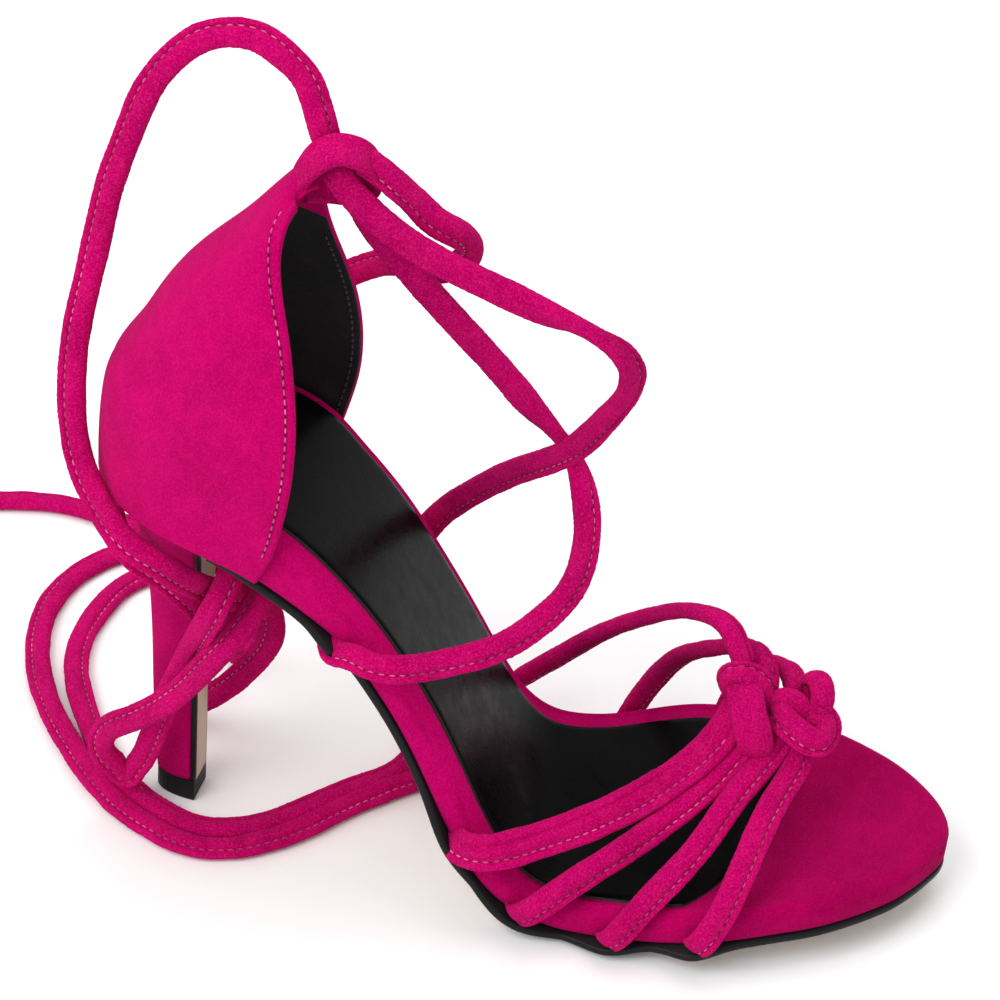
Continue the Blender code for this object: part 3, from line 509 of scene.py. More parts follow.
def band_grid(path, toward, beside, wide, deep, double=False):
    """Rings of a sewn strap: the section's two faces, across and through the strap."""
    a = SECTION_ACROSS
    across = np.concatenate([a, a[-2:0:-1]])
    back = -section_depth(a, sewn=double)
    through = np.concatenate([section_depth(a, double=double), back[-2:0:-1]])
    wide = np.broadcast_to(np.asarray(wide, float), (len(path),))
    deep = np.broadcast_to(np.asarray(deep, float), (len(path),))
    grid = path[:, None, :] + beside[:, None, :] * (across[None, :, None] * 0.5 * wide[:, None, None])
    return grid + toward[:, None, :] * (through[None, :, None] * 0.5 * deep[:, None, None])


def nappy(grid, size, seed):
    """Raised nap: every point of a strap's rings moved in or out by a small seeded amount."""
    rng = np.random.default_rng(seed)
    middle = grid.mean(axis=1, keepdims=True)
    return grid + unit(grid - middle) * (size * rng.standard_normal(grid.shape[:2])[:, :, None])


def uneven(count, length, size, seed):
    """Slow seeded waviness along a strap, about one."""
    at = np.linspace(0.0, length, count)
    rng = np.random.default_rng(seed)
    total = np.zeros(count)
    for wave in (0.031, 0.017, 0.009):
        total += rng.uniform(0.4, 1.0) * np.sin(at * 2 * math.pi / wave + rng.uniform(0, 6.28))
    return 1.0 + size * total / 2.0


def stitch_places(path, run, toward, beside, wide, deep, both=False, skip=0.003):
    """Places for stitches along a strap's groove: middle, run, out and side directions."""
    at = distances(path)
    stops = np.arange(skip, at[-1] - skip, STITCH_PITCH)
    wide = np.broadcast_to(np.asarray(wide, float), (len(path),))
    deep = np.broadcast_to(np.asarray(deep, float), (len(path),))
    made = []
    for face in ((1, -1) if both else (1,)):
        depth = float(section_depth(np.array([STITCH_LINE]), sewn=face > 0)[0])
        line = path + beside * (STITCH_LINE * 0.5 * wide)[:, None]
        line = line + toward * (face * depth * 0.5 * deep)[:, None]
        made.append((read_at(stops, at, line), unit(read_at(stops, at, run)),
                     unit(read_at(stops, at, toward)) * face))
    return merged(made)


def merged(places):
    """Several rows of stitch places as one."""
    return [np.concatenate(column) for column in zip(*places)]


def sew(name, middle, along, out, thread, hole_shade, length=0.00135, thick=0.00014):
    """Thread capsules in a row, with a flat dark disc at the end of each: the painted shade of needle holes.
    """
    side = unit(np.cross(along, out))
    out = np.cross(side, along)
    rings = []
    for t in (-1.0, -0.82, -0.4, 0.0, 0.4, 0.82, 1.0):
        bow = thick * (0.75 - 0.9 * t * t)
        size = thick * math.sqrt(max(1 - abs(t) ** 5, 0.02))
        turn = np.linspace(0, 2 * math.pi, 6, endpoint=False)
        c = np.cos(turn)[None, :, None]
        s = np.sin(turn)[None, :, None]
        ring = middle[:, None, :] + along[:, None, :] * (0.5 * length * t)
        ring = ring + out[:, None, :] * (bow + size * s)
        rings.append(ring + side[:, None, :] * (1.35 * size * c))
    grid = np.stack(rings, axis=1)
    count = len(middle)
    cells = skin_faces(7, 6, True)
    faces = (np.arange(count)[:, None, None] * 42 + cells[None]).reshape(-1, 4)
    points = grid.reshape(-1, 3)
    # Flat dark discs just over the surface between stitches: painted shade of the needle holes.
    turn = np.linspace(0, 2 * math.pi, 8, endpoint=False)
    spot = middle + along * (0.5 * STITCH_PITCH)
    disc = spot[:, None, :] + out[:, None, :] * 0.00004
    disc = disc + along[:, None, :] * (0.00033 * np.cos(turn))[None, :, None]
    disc = disc + side[:, None, :] * (0.00027 * np.sin(turn))[None, :, None]
    base = len(points)
    points = np.concatenate([points, disc.reshape(-1, 3)])
    holes = base + np.arange(count)[:, None] * 8 + np.arange(8)[None, :]
    marks = [0] * len(faces) + [1] * count
    return mesh_object(name, points, [list(f) for f in faces] + [list(h) for h in holes],
                       [thread, hole_shade], marks)


# Materials
class Shader:
    """A short way to write one procedural material."""

    def __init__(self, name):
        self.material = bpy.data.materials.new(name)
        self.material.use_nodes = True
        self.tree = self.material.node_tree
        self.body = self.tree.nodes["Principled BSDF"]
        self.where = self.tree.nodes.new("ShaderNodeTexCoord").outputs["Object"]

    def node(self, kind, inputs=(), **settings):
        """A node with its settings, and its inputs as values or links."""
        made = self.tree.nodes.new("ShaderNode" + kind)
        for key, value in settings.items():
            setattr(made, key, value)
        for key, value in dict(inputs).items():
            socket = made.inputs[key]
            if hasattr(value, "is_output"):
                self.tree.links.new(value, socket)
            else:
                socket.default_value = value
        return made

    def noise(self, scale, detail=3.0, rough=0.55, stretch=None, lean=0.0):
        """Noise over the object's own coordinates."""
        place = self.where
        if stretch is not None:
            mapped = self.node("Mapping", {"Vector": place, "Scale": stretch, "Rotation": (0.0, lean, 0.3)})
            place = mapped.outputs["Vector"]
        made = self.node("TexNoise", {"Vector": place, "Scale": scale, "Detail": detail, "Roughness": rough})
        return made.outputs["Fac"]

    def ramp(self, value, low, high, to_low=0.0, to_high=1.0):
        """A value moved from one range to another."""
        made = self.node("MapRange", {"Value": value, "From Min": low, "From Max": high,
                                      "To Min": to_low, "To Max": to_high})
        return made.outputs["Result"]

    def mix(self, fac, first, second, kind="MIX"):
        """Two colours mixed."""
        made = self.tree.nodes.new("ShaderNodeMix")
        made.data_type = "RGBA"
        made.blend_type = kind
        for key, value in ((0, fac), (6, first), (7, second)):
            if hasattr(value, "is_output"):
                self.tree.links.new(value, made.inputs[key])
            else:
                made.inputs[key].default_value = value
        return made.outputs[2]

    def math(self, kind, a, b=0.0):
        """Arithmetic on two values."""
        return self.node("Math", {0: a, 1: b}, operation=kind).outputs[0]

    def set(self, **values):
        """Inputs of the Principled shader, by name with underscores for spaces."""
        for key, value in values.items():
            socket = self.body.inputs[key.replace("_", " ")]
            if hasattr(value, "is_output"):
                self.tree.links.new(value, socket)
            else:
                socket.default_value = value

    def bump(self, height, strength, distance):
        """Relief from a height value."""
        made = self.node("Bump", {"Height": height, "Strength": strength, "Distance": distance})
        self.tree.links.new(made.outputs["Normal"], self.body.inputs["Normal"])


def shade(colour, factor, lift=0.0):
    """A colour made darker or lighter, with some grey added."""
    return tuple(min(max(c * factor + lift, 0.0), 1.0) for c in colour[:3]) + (1.0,)


def suede_finish(name, deep, base, light, nap=1.0, toe_shade_span=None):
    """Brushed suede: short fibres, cloudy nap and a faint sheen at grazing angles. Two places along
    the shoe, given last, make the colour darker from the first to the second and past it: painted shade
    towards the toe."""
    s = Shader(name)
    cloud = s.noise(60.0, 3.0, 0.6)
    brush = s.noise(300.0, 4.0, 0.65, (1.0, 0.5, 0.7), 0.5)
    fibre = s.noise(2300.0, 5.0, 0.75)
    grit = s.noise(5200.0, 3.0, 0.7)
    colour = s.mix(s.ramp(cloud, 0.35, 0.65, 0.0, 0.75), base, deep)
    colour = s.mix(s.ramp(brush, 0.45, 0.70, 0.0, 0.30), colour, light)
    colour = s.mix(s.ramp(fibre, 0.50, 0.62, 0.0, 0.85 * nap), colour, light)
    colour = s.mix(s.ramp(fibre, 0.38, 0.48, 0.75 * nap, 0.0), colour, deep)
    colour = s.mix(s.ramp(grit, 0.34, 0.50, 0.45, 0.0), colour, deep)
    # Painted shade: past the two given places along X the colour is multiplied darker towards the toe.
    if toe_shade_span:
        along = s.node("SeparateXYZ", {"Vector": s.where}).outputs["X"]
        turned = s.mix(1.0, colour, (0.74, 0.5, 0.66, 1.0), "MULTIPLY")
        colour = s.mix(s.ramp(along, toe_shade_span[0], toe_shade_span[1]), colour, turned)
    s.set(Base_Color=colour, Roughness=0.95, Specular_IOR_Level=0.02)
    s.set(Sheen_Weight=0.06, Sheen_Roughness=0.4, Sheen_Tint=(1.0, 0.25, 0.55, 1.0))
    height = s.math("ADD", s.math("MULTIPLY", fibre, 0.9), s.math("MULTIPLY", grit, 0.35))
    height = s.math("ADD", height, s.math("MULTIPLY", brush, 0.5))
    s.bump(height, 0.8 * nap, 0.0007)
    return s.material


def leather_finish(name, deep, base, rough, grain=1400.0, relief=0.25, shine=0.2):
    """Smooth leather: fine pebbled grain, faint creases and uneven shine."""
    s = Shader(name)
    cloud = s.noise(70.0, 4.0, 0.6)
    cells = s.node("TexVoronoi", {"Vector": s.where, "Scale": grain}, feature="DISTANCE_TO_EDGE")
    pores = s.ramp(cells.outputs["Distance"], 0.0, 0.35)
    fine = s.noise(5200.0, 3.0)
    s.set(Base_Color=s.mix(s.ramp(cloud, 0.3, 0.7), deep, base))
    s.set(Roughness=s.ramp(s.noise(240.0, 4.0), 0.3, 0.7, rough - 0.08, rough + 0.1))
    s.set(Specular_IOR_Level=shine)
    s.bump(s.math("ADD", pores, s.math("MULTIPLY", fine, 0.5)), relief, 0.00018)
    return s.material


def edge_finish(name, base, light, rough):
    """Painted sole edge: slight brush ripples, rubbed lighter in places."""
    s = Shader(name)
    rub = s.noise(900.0, 5.0, 0.7)
    wave = s.noise(190.0, 3.0)
    s.set(Base_Color=s.mix(s.ramp(rub, 0.58, 0.82, 0.0, 0.45), base, light))
    s.set(Roughness=s.ramp(wave, 0.3, 0.7, rough - 0.07, rough + 0.12), Specular_IOR_Level=0.16)
    s.bump(s.math("ADD", wave, s.math("MULTIPLY", rub, 0.3)), 0.25, 0.0003)
    return s.material


def bare_finish(name, deep, base, rough):
    """Bare vegetable leather: fine lengthwise fibres and small flecks."""
    s = Shader(name)
    fibres = s.noise(700.0, 4.0, 0.6, (1.0, 1.0, 0.12))
    cloud = s.noise(60.0, 3.0)
    colour = s.mix(s.ramp(cloud, 0.3, 0.7), deep, base)
    colour = s.mix(s.ramp(fibres, 0.45, 0.75, 0.0, 0.4), colour, deep)
    s.set(Base_Color=colour, Roughness=rough, Specular_IOR_Level=0.4)
    s.bump(fibres, 0.15, 0.0002)
    return s.material


def thread_finish(name, colour, shade):
    """Twisted sewing thread, sunk and shaded in places."""
    s = Shader(name)
    twist = s.noise(5200.0, 2.0)
    sunk_shade = s.noise(120.0, 3.0)
    blend = s.mix(s.ramp(twist, 0.3, 0.7, 0.0, 0.4), colour, shade)
    # Painted shade: in noise patches the thread takes its darker colour, where it sinks into the suede.
    s.set(Base_Color=s.mix(s.ramp(sunk_shade, 0.38, 0.54, 0.0, 0.95), blend, shade))
    s.set(Roughness=0.6, Sheen_Weight=0.3)
    s.bump(twist, 0.4, 0.0001)
    return s.material


def plain_finish(name, colour, rough):
    """Dark cloth and the painted shade of needle holes, with a faint mottle."""
    s = Shader(name)
    mottle = s.noise(1500.0, 2.0)
    s.set(Base_Color=s.mix(s.ramp(mottle, 0.3, 0.7, 0.0, 0.5), colour, (0.02, 0.0, 0.01, 1.0)))
    s.set(Roughness=rough, Specular_IOR_Level=0.2)
    return s.material


def make_finishes(look):
    """Every material of the sandal, by a short name, out of the colours that a user sets."""
    pink, black, edge = look.suede_colour, look.leather_colour, look.edge_colour
    panel = (shade(pink, 0.63), shade(pink, 0.88), shade(pink, 1.14, 0.005))
    return {
        "suede": suede_finish("pink_suede_nap", shade(pink, 0.60), pink, shade(pink, 1.33, 0.014)),
        "cup": suede_finish("pink_suede_panel", *panel, 0.8),
        # The rim's colour darkens from 75 to 160 mm along the shoe: painted shade on the toe.
        "rim": suede_finish("pink_suede_rim", *panel, 0.8, (0.075, 0.160)),
        # The heel's suede is the panel suede made a tenth darker: painted shade on the heel under the seat.
        "heel": suede_finish("pink_suede_heel", *[shade(c, 0.90) for c in panel], 0.8),
        "lining": leather_finish("black_lining", shade(black, 0.6), shade(black, 1.35),
                                 0.62, 1600, 0.3, 0.28),
        "sock": leather_finish("black_footbed", shade(black, 0.15), shade(black, 0.3),
                               0.28, 1300, 0.10, 0.035),
        "edge": edge_finish("black_sole_edge_paint", edge, shade(edge, 4.5), 0.42),
        "cut": edge_finish("cut_edge", (0.030, 0.027, 0.027, 1), (0.11, 0.10, 0.10, 1), 0.6),
        "bare": bare_finish("beige_sole_leather", shade(look.sole_colour, 0.77), look.sole_colour, 0.5),
        "lift": edge_finish("black_top_lift", shade(edge, 1.3), shade(edge, 7.0), 0.5),
        "thread": thread_finish("pink_thread", look.thread_colour, shade(look.thread_colour, 0.5, -0.06)),
        "dark_thread": thread_finish("dark_thread", (0.012, 0.010, 0.011, 1), (0.004, 0.004, 0.004, 1)),
        # Dark pink of the discs in needle holes: painted shade.
        "hole_shade": plain_finish("needle_hole_shade", (0.055, 0.0, 0.016, 1), 0.9),
    }


FINISH = {}


def done(piece, slot, *replaced):
    """Puts a finished piece on the frame; slot is not used."""
    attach(piece, "root")
    if replaced:
        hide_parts(*replaced)
    return piece


# Laces
LACE_COUNT = 1400


def lace_reference(path):
    """Which way a lace's face looks: up on the floor, to the front elsewhere."""
    lift = np.clip((path[:, 2] - 0.004) / 0.014, 0.0, 1.0)[:, None]
    return (1 - lift) * np.array((0.0, 0.0, 1.0)) + lift * np.array(TO_CAMERA)


def lace_sizes(look, path, seed, waves):
    """Width and depth of a lace along its path, both a little uneven."""
    count = len(path)
    length = path_length(path)
    wide = look.lace_width * uneven(count, length, waves[0], seed)
    deep = look.lace_depth * uneven(count, length, waves[1], seed + 5)
    return wide, deep


def lace_pieces(name, path, frame_of, wide, deep, seed):
    """The lace itself and the row of stitches along it."""
    run, toward, beside = frame_of
    grid = dome_ends(nappy(band_grid(path, toward, beside, wide, deep), NAP, seed), 0.0009)
    lace = skin(name, grid, [FINISH["suede"]], wrap=True, capped=True)
    rows = sew(name + "_stitches", *stitch_places(path, run, toward, beside, wide, deep),
               FINISH["thread"], FINISH["hole_shade"])
    return lace, rows


def make_long_lace(look, name, route, node, seed):
    """A long sewn lace along the CAD's route. Near the floor
    its middle line is lowered until the lace's underside lies on it."""
    path = smooth(MM * np.array(route), LACE_COUNT)
    frame_of = turned_frame(path, lace_reference(path))
    wide, deep = lace_sizes(look, path, seed, (0.035, 0.06))
    low = 0.5 * np.sqrt((deep * frame_of[1][:, 2]) ** 2 + (wide * frame_of[2][:, 2]) ** 2)
    drop = np.clip((0.012 - path[:, 2]) / 0.006, 0.0, 1.0)
    path[:, 2] += drop * (low + 0.0002 - path[:, 2])
    path[:, 2] = np.maximum(path[:, 2], low + 0.0001)
    lace, rows = lace_pieces(name, path, frame_of, wide, deep, seed)
    done(lace, "pink_suede", node)
    done(rows, "pink_suede")


def make_front_lace(look, name, route, rolls, seed, *nodes):
    """A lace over the instep, from under the rim to the loop at the heel cup. rolls are
    shares of its length with the angle in degrees that its sewn face is turned away."""
    count = 400
    path = smooth(MM * np.array(route), count)
    share = np.linspace(0.0, 1.0, count)
    roll = np.radians(np.interp(share, [r[0] for r in rolls], [r[1] for r in rolls]))
    frame_of = turned_frame(path, np.tile(np.array((0.15, -0.75, 0.6)), (count, 1)), roll, 0.02)
    wide, deep = lace_sizes(look, path, seed, (0.03, 0.05))
    lace, rows = lace_pieces(name, path, frame_of, wide, deep, seed)
    done(lace, "pink_suede", *nodes)
    done(rows, "pink_suede")


# Sole
def across_rows(sole, shares, column):
    """Rings of a part that runs the sole's length: column(share, side) gives (y, level) pairs
    from the bottom middle outwards and up to the top middle, for one side."""
    rings = []
    for share in shares:
        near = column(share, -1)
        far = column(share, 1)
        row = [(-y, level) for y, level in near] + [(y, level) for y, level in far[::-1]]
        y = np.array([p[0] for p in row])
        x, z = sole.point(share, np.array([p[1] for p in row]))
        rings.append(np.stack([x, y, z], axis=1))
    return np.array(rings)


RIM_ROLL = 0.0030


def outline_distance(sole, shares, across):
    """Shortest way from places on the footbed to its outline, on the unrolled board."""
    line = np.linspace(0.0, 1.0, 700)
    line = 0.5 - 0.5 * np.cos(np.pi * line)
    edge = [np.stack([line * sole.length, side * sole.half(line, side)], axis=1) for side in (-1, 1)]
    edge = np.concatenate(edge)
    spots = np.stack([np.broadcast_to(shares[:, None] * sole.length, across.shape), across], axis=2)
    return np.array([np.linalg.norm(row[:, None, :] - edge[None], axis=2).min(axis=1) for row in spots])


def make_rim(sole):
    """Suede wrapped board. The top's level falls as a quarter circle of RIM_ROLL with the
    distance to the outline, the sides stand upright and the bottom is flat."""
    shares = stations(0.0004, 0.9997, 300)
    f = np.sin(np.linspace(-0.5, 0.5, 61) * math.pi)
    f = np.sign(f) * (0.35 * np.abs(f) + 0.65 * np.abs(f) ** 0.8)
    near, far = sole.half(shares, -1), sole.half(shares, 1)
    across = np.where(f[None] < 0, near[:, None], far[:, None]) * f[None]
    away = np.minimum(outline_distance(sole, shares, across), RIM_ROLL)
    lip = 0.0008 * np.clip((0.90 - shares) / 0.10, 0.0, 1.0)[:, None]
    raised = lip * np.exp(-(((away - RIM_ROLL) / 0.0012) ** 2)) * (away < RIM_ROLL)
    level = raised - RIM_ROLL + np.sqrt(np.maximum(RIM_ROLL ** 2 - (RIM_ROLL - away) ** 2, 0.0))
    grid = []
    for k, share in enumerate(shares):
        deep = sole.board(share)
        low = min(0.0010, 0.2 * near[k])
        side = [(1.0, -0.0001, -deep * 0.55), (1.0, -0.0001, -deep + 0.0018),
                (1.0, 0.2 * low, -deep + 0.0007), (1.0, low, -deep), (0.5, 0.0, -deep)]
        y = [s_ * far[k] - inset for s_, inset, _ in side]
        y += [-(s_ * near[k] - inset) for s_, inset, _ in side[::-1]]
        h = [v[2] for v in side] + [v[2] for v in side[::-1]]
        y = np.concatenate([across[k], y])
        h = np.concatenate([level[k], h])
        x, z = sole.point(share, h)
        grid.append(np.stack([x, y, z], axis=1))
    rim = skin("suede_rim", np.array(grid), [FINISH["rim"]], wrap=True, capped=True, flip=True)
    return done(rim, "pink_suede", "footbed_rim")


def strap_bulges(sole, share, side):
    """Extra half width of the outsole beside each strap's foot."""
    extra = 0.0
    tucked = [row[:3] for row in STRAPS] + [("near", LACE_FOOT, 0.9)]
    for name, at, width in tucked:
        if (name == "near") == (side < 0):
            away = (share - at) * sole.length / (STRAP_BULGE_REACH * width)
            extra = max(extra, STRAP_BULGE * math.exp(-away * away))
    return extra


def make_outsole(look, sole):
    """Thin sole with a painted edge that bulges at the straps, and a bare leather bottom."""
    xs, _ = sole.point(sole.share, -sole.board(sole.share))
    breast = HEEL[-1][2] * look.heel_seat_length + 0.0013 + 3 * GAP
    first = float(np.interp(breast, xs, sole.share)) + 0.002
    shares = stations(first, 0.9985, 320)

    def column(share, side):
        half = sole.half(share, side) + OUTSOLE_MARGIN + strap_bulges(sole, share, side)
        top = -sole.board(share) - 0.0001
        waist = min(max((0.50 - share) / 0.08, 0.0), 1.0)
        base = -sole.board(share) - GAP - OUTSOLE_THICKNESS * (1.0 - 0.36 * eased(waist))
        small = min(1.0, half / 0.01)
        return [(0.0, base), (0.6 * half, base), (half - 0.0042 * small, base),
                (half - 0.0034 * small, base + 0.0003), (half - 0.0016 * small, top - 0.0021),
                (half - 0.0004 * small, top - 0.0018), (half, top - 0.0013), (half - 0.0001, top - 0.0004),
                (half - 0.0005 * small, top), (0.6 * half, top), (0.0, top)]

    grid = across_rows(sole, shares, column)
    grid[:, :, 2] = np.maximum(grid[:, :, 2], 0.0)
    columns = grid.shape[1]
    mark = np.zeros(columns, int)
    mark[[0, 1, columns - 1, columns - 2, columns - 3]] = 1
    index = np.tile(mark, (grid.shape[0] - 1, 1))
    index[[0, -3, -2, -1]] = 0
    sole_piece = skin("leather_outsole", grid, [FINISH["edge"], FINISH["bare"]], wrap=True, capped=True,
                      index=index.ravel())
    return done(sole_piece, "black_sole_edge", "outsole")


def make_sock(sole):
    """Black leather sock with a slanted front end and a thin cut edge."""
    low = 0.0002
    high = low + 0.0007
    f = np.concatenate([[-1.0, -0.995, -0.98], np.linspace(-0.93, 0.93, 31), [0.98, 0.995, 1.0]])
    level = np.full(len(f), high)
    level[[0, -1]] = low - 0.0007
    level[[1, -2]] = high - 0.00025
    level[[2, -3]] = high - 0.00005
    t = np.concatenate([[0.0, 0.0], np.linspace(0.0, 1.0, 150), [1.0, 1.0]])
    grid = np.zeros((len(t), len(f), 3))
    for row, share in enumerate(t):
        end = 0.826 + 0.040 * f - 0.034 * np.abs(f) ** 5
        at = share * end + 0.018 * (1 - share)
        height = level.copy()
        if row in (0, len(t) - 1):
            height = np.full(len(f), low - 0.0007)
        elif row in (1, len(t) - 2):
            height = np.minimum(level, high - 0.00025)
        more = np.clip((at - 0.50) / 0.12, 0.0, 1.0)
        inset = SOCK_INSET + np.where(f < 0, 0.0, 0.0033) * more * more * (3 - 2 * more)
        half = np.where(f < 0, sole.half(at, -1), sole.half(at, 1)) - inset
        x, z = sole.point(at, height - 0.0002 * (1 - f * f))
        grid[row] = np.stack([x, f * half, z], axis=1)
    rows, columns = grid.shape[:2]
    index = np.zeros((rows - 1, columns - 1), int)
    index[:, [0, -1]] = 1
    index[[0, -1], :] = 1
    sock = skin("leather_sock", grid, [FINISH["sock"], FINISH["cut"]], index=index.ravel())
    return done(sock, "black_leather", "insole")


# Heel
def seat_height(sole, x):
    """Height of the underside of the board over a place along the shoe."""
    xs, zs = sole.point(sole.share, -sole.board(sole.share))
    order = np.argsort(xs)
    return np.interp(x, xs[order], zs[order])


def heel_rows(look, heights):
    """The heel's table read smoothly at shares of its height: back, front and half width."""
    rows = pieces_of(("height", "back", "front", "half"), HEEL)
    read = [monotone(heights, rows["height"], rows[k]) for k in ("back", "front", "half")]
    return read[0] * look.heel_seat_length, read[1] * look.heel_seat_length, read[2] * look.heel_seat_width


def stand(sole, x, y, height):
    """Points of the heel turned and raised: shares of the height to places."""
    turn = HEEL_TURN * (1.0 - 0.6 * height)
    px = x * np.cos(turn) - y * np.sin(turn)
    py = x * np.sin(turn) + y * np.cos(turn)
    base = LIFT_HEIGHT + 0.0001
    top = seat_height(sole, px) - 0.0001
    return np.stack([px, py, base + (top - base) * height], axis=-1)


def make_heel(look, sole):
    """Suede covered heel: a D section, round at the back, that flares into the seat."""
    heights = np.concatenate([np.linspace(0.0, 0.6, 40), np.linspace(0.61, 1.0, 60)])
    back, front, half = heel_rows(look, heights)
    a = np.linspace(0.0, 0.5 * math.pi, 20)
    grid = []
    for h, b, f, w in zip(heights, back, front, half):
        depth = f - b
        r = min(0.0007, 0.2 * w)
        xs = list(b + depth * (1 - np.cos(a[:-1])) * 0.985)
        ys = list(w * np.sin(a[:-1]))
        xs += [f - r, f - 0.3 * r, f, f, f]
        ys += [w, w - 0.3 * r, w - r, 0.5 * w, 0.0]
        x = np.array(xs + xs[-2:0:-1])
        y = np.array(ys + [-v for v in ys[-2:0:-1]])
        grid.append(stand(sole, x, y, h))
    heel = skin("suede_heel", np.array(grid), [FINISH["heel"]], wrap=True, capped=True)
    done(heel, "pink_suede", "heel")
    rows = []
    heights = np.linspace(0.0, 0.972, 60)
    back, front, half = heel_rows(look, heights)
    for h, f, w in zip(heights, front, half):
        w = w + 0.0001
        r = 0.00022
        x = np.array([f, f + 0.0011 - r, f + 0.0011, f + 0.0012, f + 0.0012, f + 0.0011, f + 0.0011 - r, f])
        y = np.array([-w, -w, -w + r, -w + 0.0009, w - 0.0009, w - r, w, w])
        rows.append(stand(sole, x, y, h))
    columns = 8
    mark = np.zeros(columns, int)
    mark[[0, 1, 2, 4, 5, 6, 7]] = 1
    breast = skin("leather_breast", np.array(rows), [FINISH["bare"], FINISH["edge"]], wrap=True, capped=True,
                  index=np.tile(mark, len(rows) - 1))
    done(breast, "beige_leather", "heel_breast")


# Heel cup
def cup_edge_line(sole, turns):
    """Lower edge of the cup round the seat board: points and outward directions."""
    places = []
    for turn in turns:
        side = -1 if turn < 0 else 1
        wing = CUP_NEAR_WING if side < 0 else CUP_FAR_WING
        away = wing * (1 - math.cos(abs(turn) * 0.5 * math.pi))
        share = max(away / sole.length, 0.0004)
        x, z = sole.point(share, -sole.board(share))
        places.append((float(x), side * sole.half(share, side), float(z)))
    places = np.array(places)
    run = np.gradient(places[:, :2], axis=0)
    out = unit(np.stack([-run[:, 1], run[:, 0]], axis=1))
    toward = places[:, :2] - np.array([0.012, 0.0])
    out *= np.sign((out * toward).sum(axis=1))[:, None]
    return places, out


def cup_surface(look, sole, turns, levels):
    """Outer surface of the cup as rows from the seat to the tip, and its outward normals.

    Low rows follow the seat's outline, high rows are arcs from the near front edge
    over the back to the far front edge, and a smooth weight turns one into the other.
    The first and last columns are exactly the two front edges.
    """
    places, out = cup_edge_line(sole, turns)
    lines = (CUP_NEAR_EDGE, CUP_FAR_EDGE, CUP_BACK)
    near, far, back = [smooth(MM * np.array(line), levels) for line in lines]
    bottom = places.copy()
    bottom[:, :2] += out * (GAP + look.cup_wall)
    bend = np.cos(np.abs(turns) * 0.5 * math.pi)
    wide = np.sin(np.abs(turns) * 0.5 * math.pi) ** 0.9
    ends = np.clip((np.abs(turns) - 0.45) / 0.55, 0.0, 1.0) ** 2
    ends = eased(ends)[:, None]
    rows = []
    for level in range(levels):
        t = level / (levels - 1)
        front = np.where((turns < 0)[:, None], near[level], far[level])
        y = front[:, 1] * wide
        x = front[:, 0] + (back[level][0] - front[:, 0]) * bend
        z = front[:, 2] + (back[level][2] - front[:, 2]) * bend ** 1.2
        arc = np.stack([x, y, z], axis=1)
        rise = bottom + (0.0, 0.0, 1.0) * (z - bottom[:, 2])[:, None] * min(1.0, 4.0 * t + 0.02)
        hold = min(max((0.42 - t) / 0.34, 0.0), 1.0)
        hold = eased(hold)
        row = hold * rise + (1.0 - hold) * arc
        low = 1.0 - min(t / 0.06, 1.0)
        row = low * bottom + (1.0 - low) * row
        side = np.where((turns < 0)[:, None], near[level] - row[0], far[level] - row[-1])
        rows.append(row + side * ends)
    outer = np.array(rows)
    for _ in range(8):
        inner = outer[1:-1, 1:-1]
        around = outer[:-2, 1:-1] + outer[2:, 1:-1] + outer[1:-1, :-2] + outer[1:-1, 2:]
        outer[1:-1, 1:-1] = 0.5 * inner + 0.125 * around
    normal = unit(np.cross(np.gradient(outer, axis=1), np.gradient(outer, axis=0)))
    if (normal * (outer - outer.mean(axis=(0, 1)))).sum() < 0:
        normal = -normal
    return outer, normal


